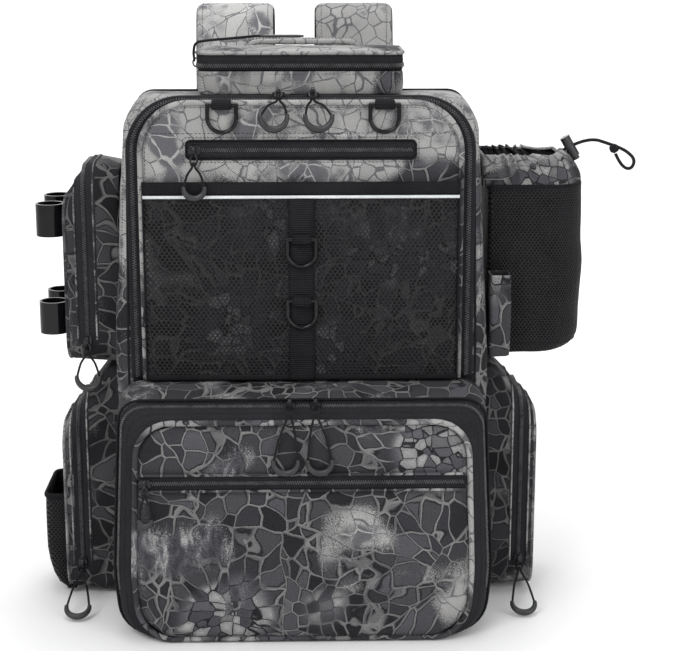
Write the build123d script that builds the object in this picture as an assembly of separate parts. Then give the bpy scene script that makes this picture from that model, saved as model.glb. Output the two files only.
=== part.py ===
from build123d import *
import math
import os

# A fishing tackle backpack standing on its base.
# Millimetres. +X is right as seen from the front, +Y points to the wearer's back, +Z is up.
# The origin is on the ground, midway between the sides, 54 mm behind the front edge of the main compartment.

os.makedirs("parts", exist_ok=True)

# ---------------------------------------------------------------- driving sizes

WALL = 3.0                 # sewn and padded wall of the bag
THIN = 2.0                 # wall of a mesh or unpadded pouch
GAP = 0.4                  # space left between a cover and the part it closes
OVERCUT = 0.5              # how far a cutting shape reaches past the face it opens
BODY_REACH = 400.0         # farther than any part of the bag

# main compartment, front to back
BODY_BACK_Y = 76.0
BODY_SHOULDER_Y = -38.0
BODY_FRONT_Y = -54.0
BACK_PANEL_T = 4.0
BACK_PAD_T = 10.0
BACK_PAD_HALF = 135.0
BACK_PAD_SPLIT = 12.0      # half of the air channel between the two upper pads
BACK_PAD_Z = (150.0, 385.0)
LUMBAR_PAD_Z = (62.0, 138.0)
PAD_CORNER = 22.0
FRAME_SHEET_HALF = 140.0
FRAME_SHEET_Z = (24.0, 436.0)
FRAME_SHEET_T = 1.6
BASE_BOARD_HALF = 112.0
BASE_BOARD_Y = (-50.0, 70.0)
BASE_BOARD_T = 2.5
SETTLE = 0.4               # the weight of the bag flattens its base by this much

# Outlines of the bag seen from the front: half widths at the ground, at mid height and at the top, height of
# the middle, height of the top, and corner radii at the ground, at the middle and at the top.
BACK_OUTLINE = (156, 163, 151, 240, 458, 24, 900, 16)
SHOULDER_OUTLINE = (158, 166, 152, 240, 463, 28, 900, 30)
FRONT_OUTLINE = (150, 152, 147, 240, 464, 34, 900, 46)
POCKET_REAR_OUTLINE = (162, 169, 158, 60, 217, 30, 200, 18)
POCKET_EDGE_OUTLINE = (158, 164, 156, 60, 212, 30, 200, 18)
COVER_EDGE_OUTLINE = (157, 163, 155, 60, 211.5, 30, 200, 18)
COVER_RIM_OUTLINE = (148, 152, 147, 60, 203, 38, 200, 32)
COVER_FRONT_OUTLINE = (142, 146, 142, 60, 197, 38, 200, 34)
COVER_LINING_OUTLINE = (147, 151, 146, 60, 202, 38, 200, 32)

# front flap, which carries the mesh pocket
FLAP_BOTTOM_Z = 219.0
FLAP_TOP_Z = 461.5
FLAP_HALF = 138.0
FLAP_CORNER = 42.0
FLAP_BACK_Y = -58.0
FLAP_FRONT_Y = -62.0
TAPE_HALF = 150.0
TAPE_TOP_Z = 466.5
TAPE_CORNER = 48.0
TAPE_LAP = 4.0             # how far the tape runs in behind the flap

MESH_FRONT_Y = -68.2
MESH_HALF = 131.0
MESH_TOP_Z = 380.0
MESH_T = 1.0
HEM_TOP_Z = 394.0
HEM_T = 1.4
PIPING_R = 1.3
COLUMN_HALF = 11.5
COLUMN_FRONT_Y = -69.8

FLAP_ZIP_HALF = 98.0
FLAP_ZIP_Z = 421.0
FLAP_ZIP_TALL = 16.0
ZIP_T = 1.2                # tape that lies on a panel

# D-rings
RING_WIRE_R = 1.75
RING_HALF = 12.2           # from the middle to the centre of the wire
RING_DROP = 11.0           # from the bar to where the bow starts
TAB_HALF = 9.0
TAB_TALL = 7.4
TAB_T = 6.6
TOP_RING_X = (-67.0, 71.0)
TOP_RING_Z = 459.4
COLUMN_RING_Z = (345.0, 291.0)

# lower front pocket
POCKET_REAR_Y = -54.0
POCKET_TAPE_T = 1.6
POCKET_TAPE_INNER = 12.0   # how far inside the outline the tape ends
POCKET_EDGE_Y = -108.0     # where its cover starts
POCKET_RIM_Y = -124.0
POCKET_FRONT_Y = -130.0
PANEL_ZIP_Z = 146.5
PANEL_ZIP_TALL = 15.0
PANEL_ZIP_HALF = 143.0

# top case
CASE_X = (-90.0, 89.0)
CASE_Y = (-20.0, 60.0)
CASE_BOTTOM_Z = 463.6
CASE_SEAM_Z = 484.0
CASE_TOP_Z = 502.0
CASE_WALL = 2.4
CASE_CORNERS = [12, 12, 6, 6]
CASE_INNER_CORNERS = [10, 10, 4, 4]
LID_T = 3.0
LID_EDGE = 2.0
CASE_ZIP_UP = 4.6          # height of the zip's middle above the seam
HANDLE_ROUTE = [(-58, 459.5), (-50, 504), (54, 504), (62, 459.5)]
HANDLE_CORNER = 16.0
HANDLE_T = 8.0
HANDLE_Y = (66.0, 78.0)

# side pockets
UPPER_Y = (-24.0, 66.0)
LOWER_Y = (-22.0, 72.0)
UPPER_SPLIT = 192.0        # distance from the middle to the parting between gusset and cover
LOWER_SPLIT = 204.0
RIGHT_SPLIT = 200.0
UPPER_FACE_X = -211.0
UPPER_PROFILE = [(-167.2, 221), (UPPER_FACE_X, 224), (UPPER_FACE_X, 372), (-190, 404), (-158, 398)]
LOWER_FACE_X = -219.0
LOWER_PROFILE = [(-159.4, 1), (LOWER_FACE_X, 3), (LOWER_FACE_X, 164), (-176, 216), (-166.8, 216)]
RIGHT_PROFILE = [(159.4, 1), (166.8, 216), (175, 216), (214, 174), (214, 3)]
SIDE_CORNER = 24.0
PROFILE_CORNER = 2.0

# rod holder rings
ROD_R = 13.0
ROD_WALL = 2.0
ROD_TALL = 29.0
ROD_X = -224.6
ROD_Y = (0.0, 52.0)
ROD_Z = (248.0, 337.0)
ROD_FOOT_HALF = 6.0
ROD_FOOT_INSET = 3.0
BUTT_FACE_X = -239.0
BUTT_Y = (-12.0, 62.0)
BUTT_Z = (3.5, 94.0)
BUTT_BULGE_Z = 42.0
BUTT_CORNER = 9.0

# bottle pocket
BOTTLE_X = (167.4, 256.0)
BOTTLE_Y = (-10.0, 64.0)
BOTTLE_Z = (228.0, 382.0)
BOTTLE_CORNER = 32.0       # seen from above
BOTTLE_FOOT_CORNER = 18.0  # seen from the front
BOTTLE_SEAM_CORNER = 4.0
COLLAR_TOP_Z = 408.0
COLLAR_ROOT_X = 161.0
COLLAR_LOW_X = 253.0
COLLAR_HIGH_X = 236.0
COLLAR_CORNER = 30.0
COLLAR_SET_IN = 3.0
SLEEVE_X = (167.4, 186.0)
SLEEVE_Y = (-34.0, -12.0)
SLEEVE_Z = (230.0, 305.0)
SLEEVE_WALL = 1.6
SLEEVE_CORNER = 4.0

# cord and cord lock
CORD_R = 1.5
CORD_ROUTE = [
    (238.0, 27.0, 408.5),
    (259.0, 25.0, 421.0),
    (283.0, 23.0, 413.5),
    (295.0, 21.0, 408.5),
    (303.0, 19.0, 400.5),
    (299.0, 18.0, 391.5),
    (290.0, 19.0, 395.0),
    (285.0, 21.5, 406.0),
]
KNOT_R = 4.6
LOCK_R = 4.6
LOCK_LENGTH = 20.0
LOCK_ALONG_CORD = 7.0
LOCK_CORD_GAP = 0.5
BUTTON_R = 3.2
BUTTON_OUT = 3.2
BUTTON_IN = 3.4
BUTTON_STROKE = 2.4

# sliders and pulls
SLIDER_LONG = 11.0
SLIDER_WIDE = 8.4
SLIDER_T = 2.2
SLIDER_LIFT = 0.3
CHEEK_T = 1.0
CHEEK_GAP = 4.4
PIN_R = 0.8
PIN_OUT = 2.3
PIN_LOW = 3.0              # from the middle of the slider towards the pull
PIN_PLAY = 0.3
CHEEK_LONG = 3.6
CHEEK_SHIFT = 0.6
CHEEK_OVER_PIN = 0.8
EYE_R = 2.0
EYE_WIDE = 3.6
LINK_R = 1.3
LEG_R = 1.1
GRIP_R = 2.1
CASE_PULL_Y = 24.0
CASE_PULL_TOP = 506.0
CASE_PULL_RISE = (-36.0, 511.5)
CASE_TAB_END = 3.0
CASE_TAB_HALF = 3.5
CASE_TAB_Z = (510.2, 512.8)

# shoulder straps
STRAP_WIDE = 71.0
STRAP_T = 12.0
STRAP_X = (-61.0, 50.0)
STRAP_ROUTE = [                # (y, z) from the yoke up over the top and down behind the back pads
    (90.5, 398.0),
    (92.0, 470.0),
    (112.0, 532.0),
    (148.0, 520.0),
    (166.0, 420.0),
    (160.0, 270.0),
    (132.0, 165.0),
]
STRAP_RADII = [150.0, 20.0, 22.0, 160.0, 260.0]
WEB_WIDE = 25.0
WEB_T = 1.8
WEB_RADIUS = 60.0
WEB_ROUTE_END = [(118.0, 84.0), (99.0, 48.0), (83.0, 22.0)]
LOCK_HALF = 16.0
LOCK_TALL = 26.0
LOCK_T = 3.5
LOCK_SLOT_HALF = 13.0
LOCK_SLOT_TALL = 5.0
LOCK_SLOTS = (5.0, 15.0)   # height of each slot above the low edge
LOCK_UNDER_STRAP = 8.5
LOCK_FACE = 6.0            # how far the lock's back lies in front of the strap's end


# ---------------------------------------------------------------- helpers

def save(name, *solids):
    """Write one node, as a single solid or as a group of separate ones."""
    found = [solid for shape in solids for solid in shape.solids()]
    shape = found[0] if len(found) == 1 else Compound(children=found)
    shape.label = name
    export_step(shape, "parts/" + name + ".step")


def front_face(points, radii, y):
    """Closed outline of (x, z) points as seen from the front, at depth y."""
    plane = Plane(origin=(0, y, 0), x_dir=(1, 0, 0), z_dir=(0, -1, 0))
    return plane * make_face(FilletPolyline(*points, radius=radii, close=True))


def side_face(points, radii, x):
    """Closed outline of (y, z) points as seen from the side, at x."""
    plane = Plane(origin=(x, 0, 0), x_dir=(0, 1, 0), z_dir=(1, 0, 0))
    return plane * make_face(FilletPolyline(*points, radius=radii, close=True))


def plan_face(points, radii, z):
    """Closed outline of (x, y) points as seen from above, at height z."""
    plane = Plane(origin=(0, 0, z))
    return plane * make_face(FilletPolyline(*points, radius=radii, close=True))


def front_slab(points, radii, y0, y1):
    return extrude(front_face(points, radii, y0), amount=y1 - y0, dir=(0, 1, 0))


def side_slab(points, radii, x0, x1):
    return extrude(side_face(points, radii, x0), amount=x1 - x0, dir=(1, 0, 0))


def plan_slab(points, radii, z0, z1):
    return extrude(plan_face(points, radii, z0), amount=z1 - z0, dir=(0, 0, 1))


def block(x0, x1, y0, y1, z0, z1):
    """Box between two corners."""
    return Pos((x0 + x1) / 2, (y0 + y1) / 2, (z0 + z1) / 2) * Box(x1 - x0, y1 - y0, z1 - z0)


def rectangle(a0, a1, b0, b1):
    """Corner points of a rectangle, first coordinate a, second b."""
    return [(a0, b0), (a1, b0), (a1, b1), (a0, b1)]


def rod(start, end, radius):
    """Round bar between two points."""
    start = Vector(start)
    along = Vector(end) - start
    return Solid.make_cylinder(radius, along.length, Plane(origin=start, z_dir=along.normalized()))


def shell_section(outline, y, inset=0.0):
    """Outline of the bag at depth y, shrunk all round by inset."""
    half_low, half_mid, half_top, z_mid, top, corner_low, corner_mid, corner_top = outline
    points = [
        (-half_low + inset, inset),
        (half_low - inset, inset),
        (half_mid - inset, z_mid),
        (half_top - inset, top - inset),
        (-half_top + inset, top - inset),
        (-half_mid + inset, z_mid),
    ]
    low = corner_low - inset
    high = corner_top - inset
    return front_face(points, [low, low, corner_mid, high, high, corner_mid], y)


# ---------------------------------------------------------------- main compartment

def body_loft(inset, y_back, y_front):
    """Bag from its square back outline to its rounded front outline."""
    sections = [
        shell_section(BACK_OUTLINE, y_back, inset),
        shell_section(SHOULDER_OUTLINE, BODY_SHOULDER_Y, inset),
        shell_section(FRONT_OUTLINE, y_front, inset),
    ]
    return loft(sections, ruled=True)


def make_main_compartment():
    outer = Pos(0, 0, -SETTLE) * body_loft(0, BODY_BACK_Y, BODY_FRONT_Y)
    outer -= block(-BODY_REACH, BODY_REACH, -BODY_REACH, BODY_REACH, -BODY_REACH, 0)
    inner = body_loft(WALL, BODY_BACK_Y + OVERCUT, BODY_FRONT_Y - OVERCUT)
    save("main_gusset", outer - inner)

    back = shell_section(BACK_OUTLINE, BODY_BACK_Y)
    save("back_panel", extrude(back, amount=BACK_PANEL_T, dir=(0, 1, 0)))

    pad_y = BODY_BACK_Y + BACK_PANEL_T
    outlines = [
        rectangle(-BACK_PAD_HALF, -BACK_PAD_SPLIT, *BACK_PAD_Z),
        rectangle(BACK_PAD_SPLIT, BACK_PAD_HALF, *BACK_PAD_Z),
        rectangle(-BACK_PAD_HALF, BACK_PAD_HALF, *LUMBAR_PAD_Z),
    ]
    save("back_pads", *[front_slab(outline, PAD_CORNER, pad_y, pad_y + BACK_PAD_T) for outline in outlines])

    sheet = rectangle(-FRAME_SHEET_HALF, FRAME_SHEET_HALF, *FRAME_SHEET_Z)
    save("frame_sheet", front_slab(sheet, 20, BODY_BACK_Y - FRAME_SHEET_T, BODY_BACK_Y))
    board = rectangle(-BASE_BOARD_HALF, BASE_BOARD_HALF, *BASE_BOARD_Y)
    save("base_board", plan_slab(board, 10, WALL, WALL + BASE_BOARD_T))


def make_main_zip_tape():
    """Half of the main zip that stays on the bag: an arch over the flap."""
    outer_points = rectangle(-TAPE_HALF, TAPE_HALF, FLAP_BOTTOM_Z, TAPE_TOP_Z)
    inner_half = FLAP_HALF - TAPE_LAP
    inner_points = rectangle(-inner_half, inner_half, FLAP_BOTTOM_Z - 1, FLAP_TOP_Z - TAPE_LAP)
    inner_corner = TAPE_CORNER - 2 * TAPE_LAP
    outer = front_slab(outer_points, [0, 0, TAPE_CORNER, TAPE_CORNER], FLAP_BACK_Y + GAP, BODY_FRONT_Y)
    inner = front_slab(inner_points, [0, 0, inner_corner, inner_corner], FLAP_BACK_Y, BODY_FRONT_Y + 1)
    save("main_zip_tape", outer - inner)


# ---------------------------------------------------------------- front flap

def make_front_flap():
    points = rectangle(-FLAP_HALF, FLAP_HALF, FLAP_BOTTOM_Z, FLAP_TOP_Z)
    save("front_flap", front_slab(points, [2, 2, FLAP_CORNER, FLAP_CORNER], FLAP_FRONT_Y, FLAP_BACK_Y))


def make_mesh_pocket():
    """Flat mesh pocket, open at the top behind its hem."""
    low = FLAP_BOTTOM_Z + OVERCUT
    sheet_back = MESH_FRONT_Y + MESH_T
    inner_half = MESH_HALF - MESH_T
    sheet = block(-MESH_HALF, MESH_HALF, MESH_FRONT_Y, sheet_back, low, MESH_TOP_Z)
    floor = block(-MESH_HALF, MESH_HALF, sheet_back, FLAP_FRONT_Y, low, low + MESH_T)
    left = block(-MESH_HALF, -inner_half, MESH_FRONT_Y, FLAP_FRONT_Y, low, HEM_TOP_Z)
    right = block(inner_half, MESH_HALF, MESH_FRONT_Y, FLAP_FRONT_Y, low, HEM_TOP_Z)
    save("flap_mesh_pocket", sheet + floor + left + right)

    piping_z = MESH_TOP_Z + PIPING_R
    piping_y = sheet_back - PIPING_R
    left_end = (-inner_half, piping_y, piping_z)
    right_end = (inner_half, piping_y, piping_z)
    save("reflective_piping", rod(left_end, right_end, PIPING_R))


def ring_tab(x, face_y, z):
    """Folded webbing that holds the bar of a D-ring in front of face_y."""
    bar_y = face_y - TAB_T / 2
    tab = block(x - TAB_HALF, x + TAB_HALF, face_y - TAB_T, face_y, z - TAB_TALL / 2, z + TAB_TALL / 2)
    past = 2 * TAB_HALF
    return tab - rod((x - past, bar_y, z), (x + past, bar_y, z), RING_WIRE_R + PIN_PLAY)


def make_flap_webbing():
    """Hem of the mesh pocket, webbing column, and the four tabs that hold D-rings."""
    hem_z = MESH_TOP_Z + 2 * PIPING_R
    hem_half = MESH_HALF - MESH_T
    hem = block(-hem_half, hem_half, MESH_FRONT_Y, MESH_FRONT_Y + HEM_T, hem_z, HEM_TOP_Z)
    low = FLAP_BOTTOM_Z + OVERCUT
    column = block(-COLUMN_HALF, COLUMN_HALF, COLUMN_FRONT_Y, MESH_FRONT_Y, low, MESH_TOP_Z - OVERCUT)
    for ring_z in COLUMN_RING_Z:
        column += ring_tab(0, COLUMN_FRONT_Y, ring_z)
    tabs = [ring_tab(x, FLAP_FRONT_Y, TOP_RING_Z) for x in TOP_RING_X]
    save("flap_webbing", hem, column, *tabs)


def d_ring(x, face_y, z):
    """D-ring hanging by its straight bar."""
    y = face_y - TAB_T / 2
    centre = Vector(x, y, z - RING_DROP)
    bar = rod((x - RING_HALF, y, z), (x + RING_HALF, y, z), RING_WIRE_R)
    left = rod((x - RING_HALF, y, z), (x - RING_HALF, y, centre.Z), RING_WIRE_R)
    right = rod((x + RING_HALF, y, z), (x + RING_HALF, y, centre.Z), RING_WIRE_R)
    corners = [Pos(x + side * RING_HALF, y, z) * Sphere(RING_WIRE_R) for side in (-1, 1)]
    return bar + left + right + corners[0] + corners[1] + bow(centre, RING_HALF, RING_WIRE_R)


def bow(centre, radius, wire):
    """Half ring below its centre, in the plane that faces the front."""
    plane = Plane(origin=centre, x_dir=(1, 0, 0), z_dir=(0, -1, 0))
    path = Edge.make_circle(radius, plane, start_angle=180, end_angle=360)
    section = Plane(origin=centre + Vector(-radius, 0, 0), z_dir=(0, 0, -1)) * Circle(wire)
    return sweep(section, path=path)


def make_d_rings():
    save("d_ring_top_left", d_ring(TOP_RING_X[0], FLAP_FRONT_Y, TOP_RING_Z))
    save("d_ring_top_right", d_ring(TOP_RING_X[1], FLAP_FRONT_Y, TOP_RING_Z))
    save("d_ring_column_upper", d_ring(0, COLUMN_FRONT_Y, COLUMN_RING_Z[0]))
    save("d_ring_column_lower", d_ring(0, COLUMN_FRONT_Y, COLUMN_RING_Z[1]))


def zip_strip(half_wide, z, tall):
    """Corner points of a straight zip tape that lies across the bag."""
    return rectangle(-half_wide, half_wide, z - tall / 2, z + tall / 2)


def make_flap_pocket_zip():
    points = zip_strip(FLAP_ZIP_HALF, FLAP_ZIP_Z, FLAP_ZIP_TALL)
    save("flap_pocket_zip", front_slab(points, 3, FLAP_FRONT_Y - ZIP_T, FLAP_FRONT_Y))


# ---------------------------------------------------------------- lower front pocket

def make_lower_pocket():
    rear_lining = shell_section(POCKET_REAR_OUTLINE, POCKET_REAR_Y - WALL, WALL)
    edge_lining = shell_section(POCKET_EDGE_OUTLINE, POCKET_EDGE_Y - OVERCUT, WALL)
    rear_outline = shell_section(POCKET_REAR_OUTLINE, POCKET_REAR_Y)
    edge_outline = shell_section(POCKET_EDGE_OUTLINE, POCKET_EDGE_Y)
    outer = loft([rear_outline, edge_outline], ruled=True)
    save("lower_pocket_gusset", outer - loft([rear_lining, edge_lining], ruled=True))

    edge = shell_section(POCKET_EDGE_OUTLINE, POCKET_EDGE_Y, WALL + GAP)
    tape = extrude(edge, amount=POCKET_TAPE_T, dir=(0, 1, 0))
    opening = shell_section(POCKET_EDGE_OUTLINE, POCKET_EDGE_Y, POCKET_TAPE_INNER)
    tape -= extrude(opening, amount=2 * POCKET_TAPE_T, dir=(0, 1, 0))
    save("lower_zip_tape", tape)

    start = POCKET_EDGE_Y - GAP
    sections = [
        shell_section(COVER_EDGE_OUTLINE, start),
        shell_section(COVER_RIM_OUTLINE, POCKET_RIM_Y),
        shell_section(COVER_FRONT_OUTLINE, POCKET_FRONT_Y),
    ]
    lining = [
        shell_section(COVER_EDGE_OUTLINE, start + OVERCUT, WALL),
        shell_section(COVER_LINING_OUTLINE, POCKET_FRONT_Y + WALL, WALL),
    ]
    save("lower_flap", loft(sections, ruled=True) - loft(lining, ruled=True))

    points = zip_strip(PANEL_ZIP_HALF, PANEL_ZIP_Z, PANEL_ZIP_TALL)
    save("lower_pocket_zip", front_slab(points, 2, POCKET_FRONT_Y - ZIP_T, POCKET_FRONT_Y))


# ---------------------------------------------------------------- top case and carry handle

def make_top_case():
    x0, x1 = CASE_X
    y0, y1 = CASE_Y
    inner = rectangle(x0 + CASE_WALL, x1 - CASE_WALL, y0 + CASE_WALL, y1 - CASE_WALL)
    under_lid = CASE_TOP_Z - LID_T
    base = plan_slab(rectangle(x0, x1, y0, y1), CASE_CORNERS, CASE_BOTTOM_Z, CASE_SEAM_Z)
    base -= plan_slab(inner, CASE_INNER_CORNERS, CASE_BOTTOM_Z + CASE_WALL, CASE_SEAM_Z + 1)
    rear_inset = 8.0
    base += block(x0 + rear_inset, x1 - rear_inset, y1 - CASE_WALL, y1, CASE_SEAM_Z - 1, under_lid - GAP)
    save("top_case_base", base)

    seam = CASE_SEAM_Z + GAP
    lid = plan_slab(rectangle(x0, x1, y0, y1 - GAP), CASE_CORNERS, seam, CASE_TOP_Z)
    lid = fillet(lid.edges().group_by(Axis.Z)[-1], LID_EDGE)
    front_corner = CASE_INNER_CORNERS[0]
    open_rear = rectangle(x0 + CASE_WALL, x1 - CASE_WALL, y0 + CASE_WALL, y1 + CASE_WALL)
    lid -= plan_slab(open_rear, [front_corner, front_corner, 0, 0], seam - 1, under_lid)
    lid -= block(x0 - 1, x1 + 1, y1 - CASE_WALL - GAP, y1 + CASE_WALL, seam - 1, under_lid)
    save("top_case_lid", lid)


def make_carry_handle():
    """Padded grab handle standing across the back of the top."""
    y0, y1 = HANDLE_Y
    path = FilletPolyline(*HANDLE_ROUTE, radius=[HANDLE_CORNER, HANDLE_CORNER])
    plane = Plane(origin=(0, y0, 0), x_dir=(1, 0, 0), z_dir=(0, -1, 0))
    save("carry_handle", extrude(plane * trace(path, line_width=HANDLE_T), amount=y1 - y0, dir=(0, 1, 0)))


# ---------------------------------------------------------------- side pockets

def side_pocket(profile, y_range, wall):
    """Hollow pocket: a front profile of (x, z) points run back, with rounded side-view corners."""
    y0, y1 = y_range
    xs = [point[0] for point in profile]
    zs = [point[1] for point in profile]
    run = front_slab(profile, PROFILE_CORNER, y0, y1)
    rounded = side_slab(rectangle(y0, y1, min(zs), max(zs)), SIDE_CORNER, min(xs) - 1, max(xs) + 1)
    outer = run & rounded
    flat = Face(Wire.make_polygon([(x, 0, z) for x, z in profile]))
    inner_run = extrude(offset(flat, -wall), amount=y1 - y0 - wall, dir=(0, 1, 0))
    inner_run = Pos(0, y0 + wall, 0) * inner_run
    inner_box = rectangle(y0 + wall, y1 - wall, min(zs) + wall, max(zs) - wall)
    inner = inner_run & side_slab(inner_box, SIDE_CORNER - wall, min(xs) - 1, max(xs) + 1)
    return outer - inner


def part_at(pocket, x):
    """Cut a pocket in two along the zip at x: (left piece, right piece)."""
    far = BODY_REACH
    left = pocket & block(-far, x - GAP / 2, -far, far, -far, 2 * far)
    right = pocket & block(x + GAP / 2, far, -far, far, -far, 2 * far)
    return left, right


def make_side_pockets():
    cover, gusset = part_at(side_pocket(UPPER_PROFILE, UPPER_Y, WALL), -UPPER_SPLIT)
    save("upper_left_gusset", gusset)
    save("upper_left_cover", cover)

    cover, gusset = part_at(side_pocket(LOWER_PROFILE, LOWER_Y, WALL), -LOWER_SPLIT)
    save("lower_left_gusset", gusset)
    save("lower_left_cover", cover)

    gusset, cover = part_at(side_pocket(RIGHT_PROFILE, LOWER_Y, WALL), RIGHT_SPLIT)
    save("lower_right_gusset", gusset)
    save("lower_right_cover", cover)


def rod_ring(y, z):
    """Moulded ring, and the foot that joins it to the cover."""
    middle = Pos(ROD_X, y, z + ROD_TALL / 2)
    tube = middle * Cylinder(ROD_R, ROD_TALL)
    bore = middle * Cylinder(ROD_R - ROD_WALL, 2 * ROD_TALL)
    foot_start = ROD_X + ROD_R / 2
    foot_z = (z + ROD_FOOT_INSET, z + ROD_TALL - ROD_FOOT_INSET)
    foot = block(foot_start, UPPER_FACE_X, y - ROD_FOOT_HALF, y + ROD_FOOT_HALF, *foot_z)
    return tube + foot - bore


def make_rod_holder():
    """Two upper and two lower rings on the upper cover, and the pouch under them for the rod butts."""
    save("rod_rings", *[rod_ring(y, z) for z in ROD_Z for y in ROD_Y])

    x0, x1 = BUTT_FACE_X, LOWER_FACE_X
    y0, y1 = BUTT_Y
    z0, z1 = BUTT_Z
    toe = 5.0
    side = [(x1, z0), (x1 - BUTT_CORNER, z0 + toe), (x0, BUTT_BULGE_Z), (x0, z1), (x1, z1)]
    corners = [BUTT_CORNER, 0, 0, BUTT_CORNER]
    outer = front_slab(side, 0, y0, y1) & plan_slab(rectangle(x0, x1, y0, y1), corners, z0, z1)
    hollow = [
        (x1 - THIN, z0 + 1.5 * THIN),
        (x1 - BUTT_CORNER + 1, z0 + toe + 1.5 * THIN),
        (x0 + THIN, BUTT_BULGE_Z),
        (x0 + THIN, z1 + toe),
        (x1 - THIN, z1 + toe),
    ]
    inner_plan = rectangle(x0 + THIN, x1 - THIN, y0 + THIN, y1 - THIN)
    inner_corners = [BUTT_CORNER - THIN, 0, 0, BUTT_CORNER - THIN]
    inner = front_slab(hollow, 0, y0, y1) & plan_slab(inner_plan, inner_corners, z0, z1 + toe)
    save("rod_butt_pouch", outer - inner)


# ---------------------------------------------------------------- bottle pocket and tool sleeve

def make_bottle_pocket():
    x0, x1 = BOTTLE_X
    y0, y1 = BOTTLE_Y
    z0, z1 = BOTTLE_Z
    open_z = z1 + 5

    def pouch(inset, top):
        """The pocket's outer shape, or with an inset its inside."""
        seam = BOTTLE_SEAM_CORNER - inset
        corner = BOTTLE_CORNER - inset
        foot = BOTTLE_FOOT_CORNER - inset
        plan = rectangle(x0 + inset, x1 - inset, y0 + inset, y1 - inset)
        face = rectangle(x0 + inset, x1 - inset, z0 + inset, top)
        from_above = plan_slab(plan, [seam, corner, corner, seam], z0, top)
        return from_above & front_slab(face, [seam, foot, 0, 0], y0, y1)

    save("bottle_pocket", pouch(0, z1) - pouch(THIN, open_z))

    def ring(z, right, inset):
        low = y0 + COLLAR_SET_IN + inset
        high = y1 - COLLAR_SET_IN - inset
        corner = COLLAR_CORNER - inset
        points = rectangle(COLLAR_ROOT_X + inset, right - inset, low, high)
        return plan_face(points, [BOTTLE_SEAM_CORNER, corner, corner, BOTTLE_SEAM_CORNER], z)

    collar = loft([ring(z1, COLLAR_LOW_X, 0), ring(COLLAR_TOP_Z, COLLAR_HIGH_X, 0)], ruled=True)
    past = 0.1
    hollow = [ring(z1 - past, COLLAR_LOW_X, THIN), ring(COLLAR_TOP_Z + past, COLLAR_HIGH_X, THIN)]
    save("bottle_collar", collar - loft(hollow, ruled=True))


def make_tool_sleeve():
    x0, x1 = SLEEVE_X
    y0, y1 = SLEEVE_Y
    z0, z1 = SLEEVE_Z
    wall = SLEEVE_WALL
    outer = plan_slab(rectangle(x0, x1, y0, y1), SLEEVE_CORNER, z0, z1)
    plan = rectangle(x0 + wall, x1 - wall, y0 + wall, y1 - wall)
    save("tool_sleeve", outer - plan_slab(plan, SLEEVE_CORNER - wall, z0 + wall, z1 + 1))


# ---------------------------------------------------------------- drawcord and cord lock

def route_radii(route):
    """Largest arc at each inner point that its two runs allow."""
    radii = []
    for before, here, after in zip(route, route[1:], route[2:]):
        first = Vector(here) - Vector(before)
        second = Vector(after) - Vector(here)
        turn = math.radians(first.get_angle(second))
        radii.append(0.45 * min(first.length, second.length) / math.tan(turn / 2))
    return radii


def make_drawcord():
    """Free end of the collar's drawcord: out through the lock, a knot, and a finger loop back to the knot."""
    radii = route_radii(CORD_ROUTE)
    path = FilletPolyline(*CORD_ROUTE, radius=radii)
    along = Vector(CORD_ROUTE[1]) - Vector(CORD_ROUTE[0])
    section = Plane(origin=CORD_ROUTE[0], z_dir=along.normalized()) * Circle(CORD_R)
    tube = sweep(section, path=path)
    knot = Pos(*CORD_ROUTE[2]) * Sphere(KNOT_R)
    save("drawcord", tube + knot)


def make_cord_lock():
    start = Vector(CORD_ROUTE[0])
    along = (Vector(CORD_ROUTE[1]) - start).normalized()
    centre = start + along * LOCK_ALONG_CORD
    across = Vector(along.Z, 0, -along.X).normalized()
    low_end = centre + across * (LOCK_LENGTH / 2)
    high_end = centre - across * (LOCK_LENGTH / 2)
    barrel = rod(high_end, low_end, LOCK_R)
    past = 2 * LOCK_R
    barrel -= rod(centre - along * past, centre + along * past, CORD_R + LOCK_CORD_GAP)
    pocket_depth = BUTTON_IN + BUTTON_STROKE + 2 * PIN_PLAY
    barrel -= rod(low_end + across, low_end - across * pocket_depth, BUTTON_R + PIN_PLAY)
    save("cord_lock_body", barrel)
    save("cord_lock_button", rod(low_end + across * BUTTON_OUT, low_end - across * BUTTON_IN, BUTTON_R))


# ---------------------------------------------------------------- zip sliders and pulls

def slider(face, long_way):
    """Slider body on the tape plane `face`, whose z axis points out of the bag and whose x axis is the pin."""
    wide = SLIDER_LONG if long_way == "x" else SLIDER_WIDE
    tall = SLIDER_WIDE if long_way == "x" else SLIDER_LONG
    plate_top = SLIDER_LIFT + SLIDER_T
    body = Pos(0, 0, plate_top - SLIDER_T / 2) * Box(wide, tall, SLIDER_T)
    cheek_tall = PIN_OUT + PIN_R + CHEEK_OVER_PIN
    for side in (-1, 1):
        x = side * (CHEEK_GAP + CHEEK_T) / 2
        cheek = Box(CHEEK_T, CHEEK_LONG, cheek_tall)
        body += Pos(x, CHEEK_SHIFT - PIN_LOW, plate_top + cheek_tall / 2) * cheek
    body += Pos(0, -PIN_LOW, plate_top + PIN_OUT) * Rot(0, 90, 0) * Cylinder(PIN_R, CHEEK_GAP + CHEEK_T)
    return face * body


def pin_of(face):
    """Centre of the pull's pin on the slider at `face`."""
    return face.origin + face.z_dir * (SLIDER_LIFT + SLIDER_T + PIN_OUT) - face.y_dir * PIN_LOW


def eye_round(pin, along):
    """Eyelet of a pull, round its pin."""
    half = along * (EYE_WIDE / 2)
    past = along * EYE_WIDE
    return rod(pin - half, pin + half, EYE_R), rod(pin - past, pin + past, PIN_R + PIN_PLAY)


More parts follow.
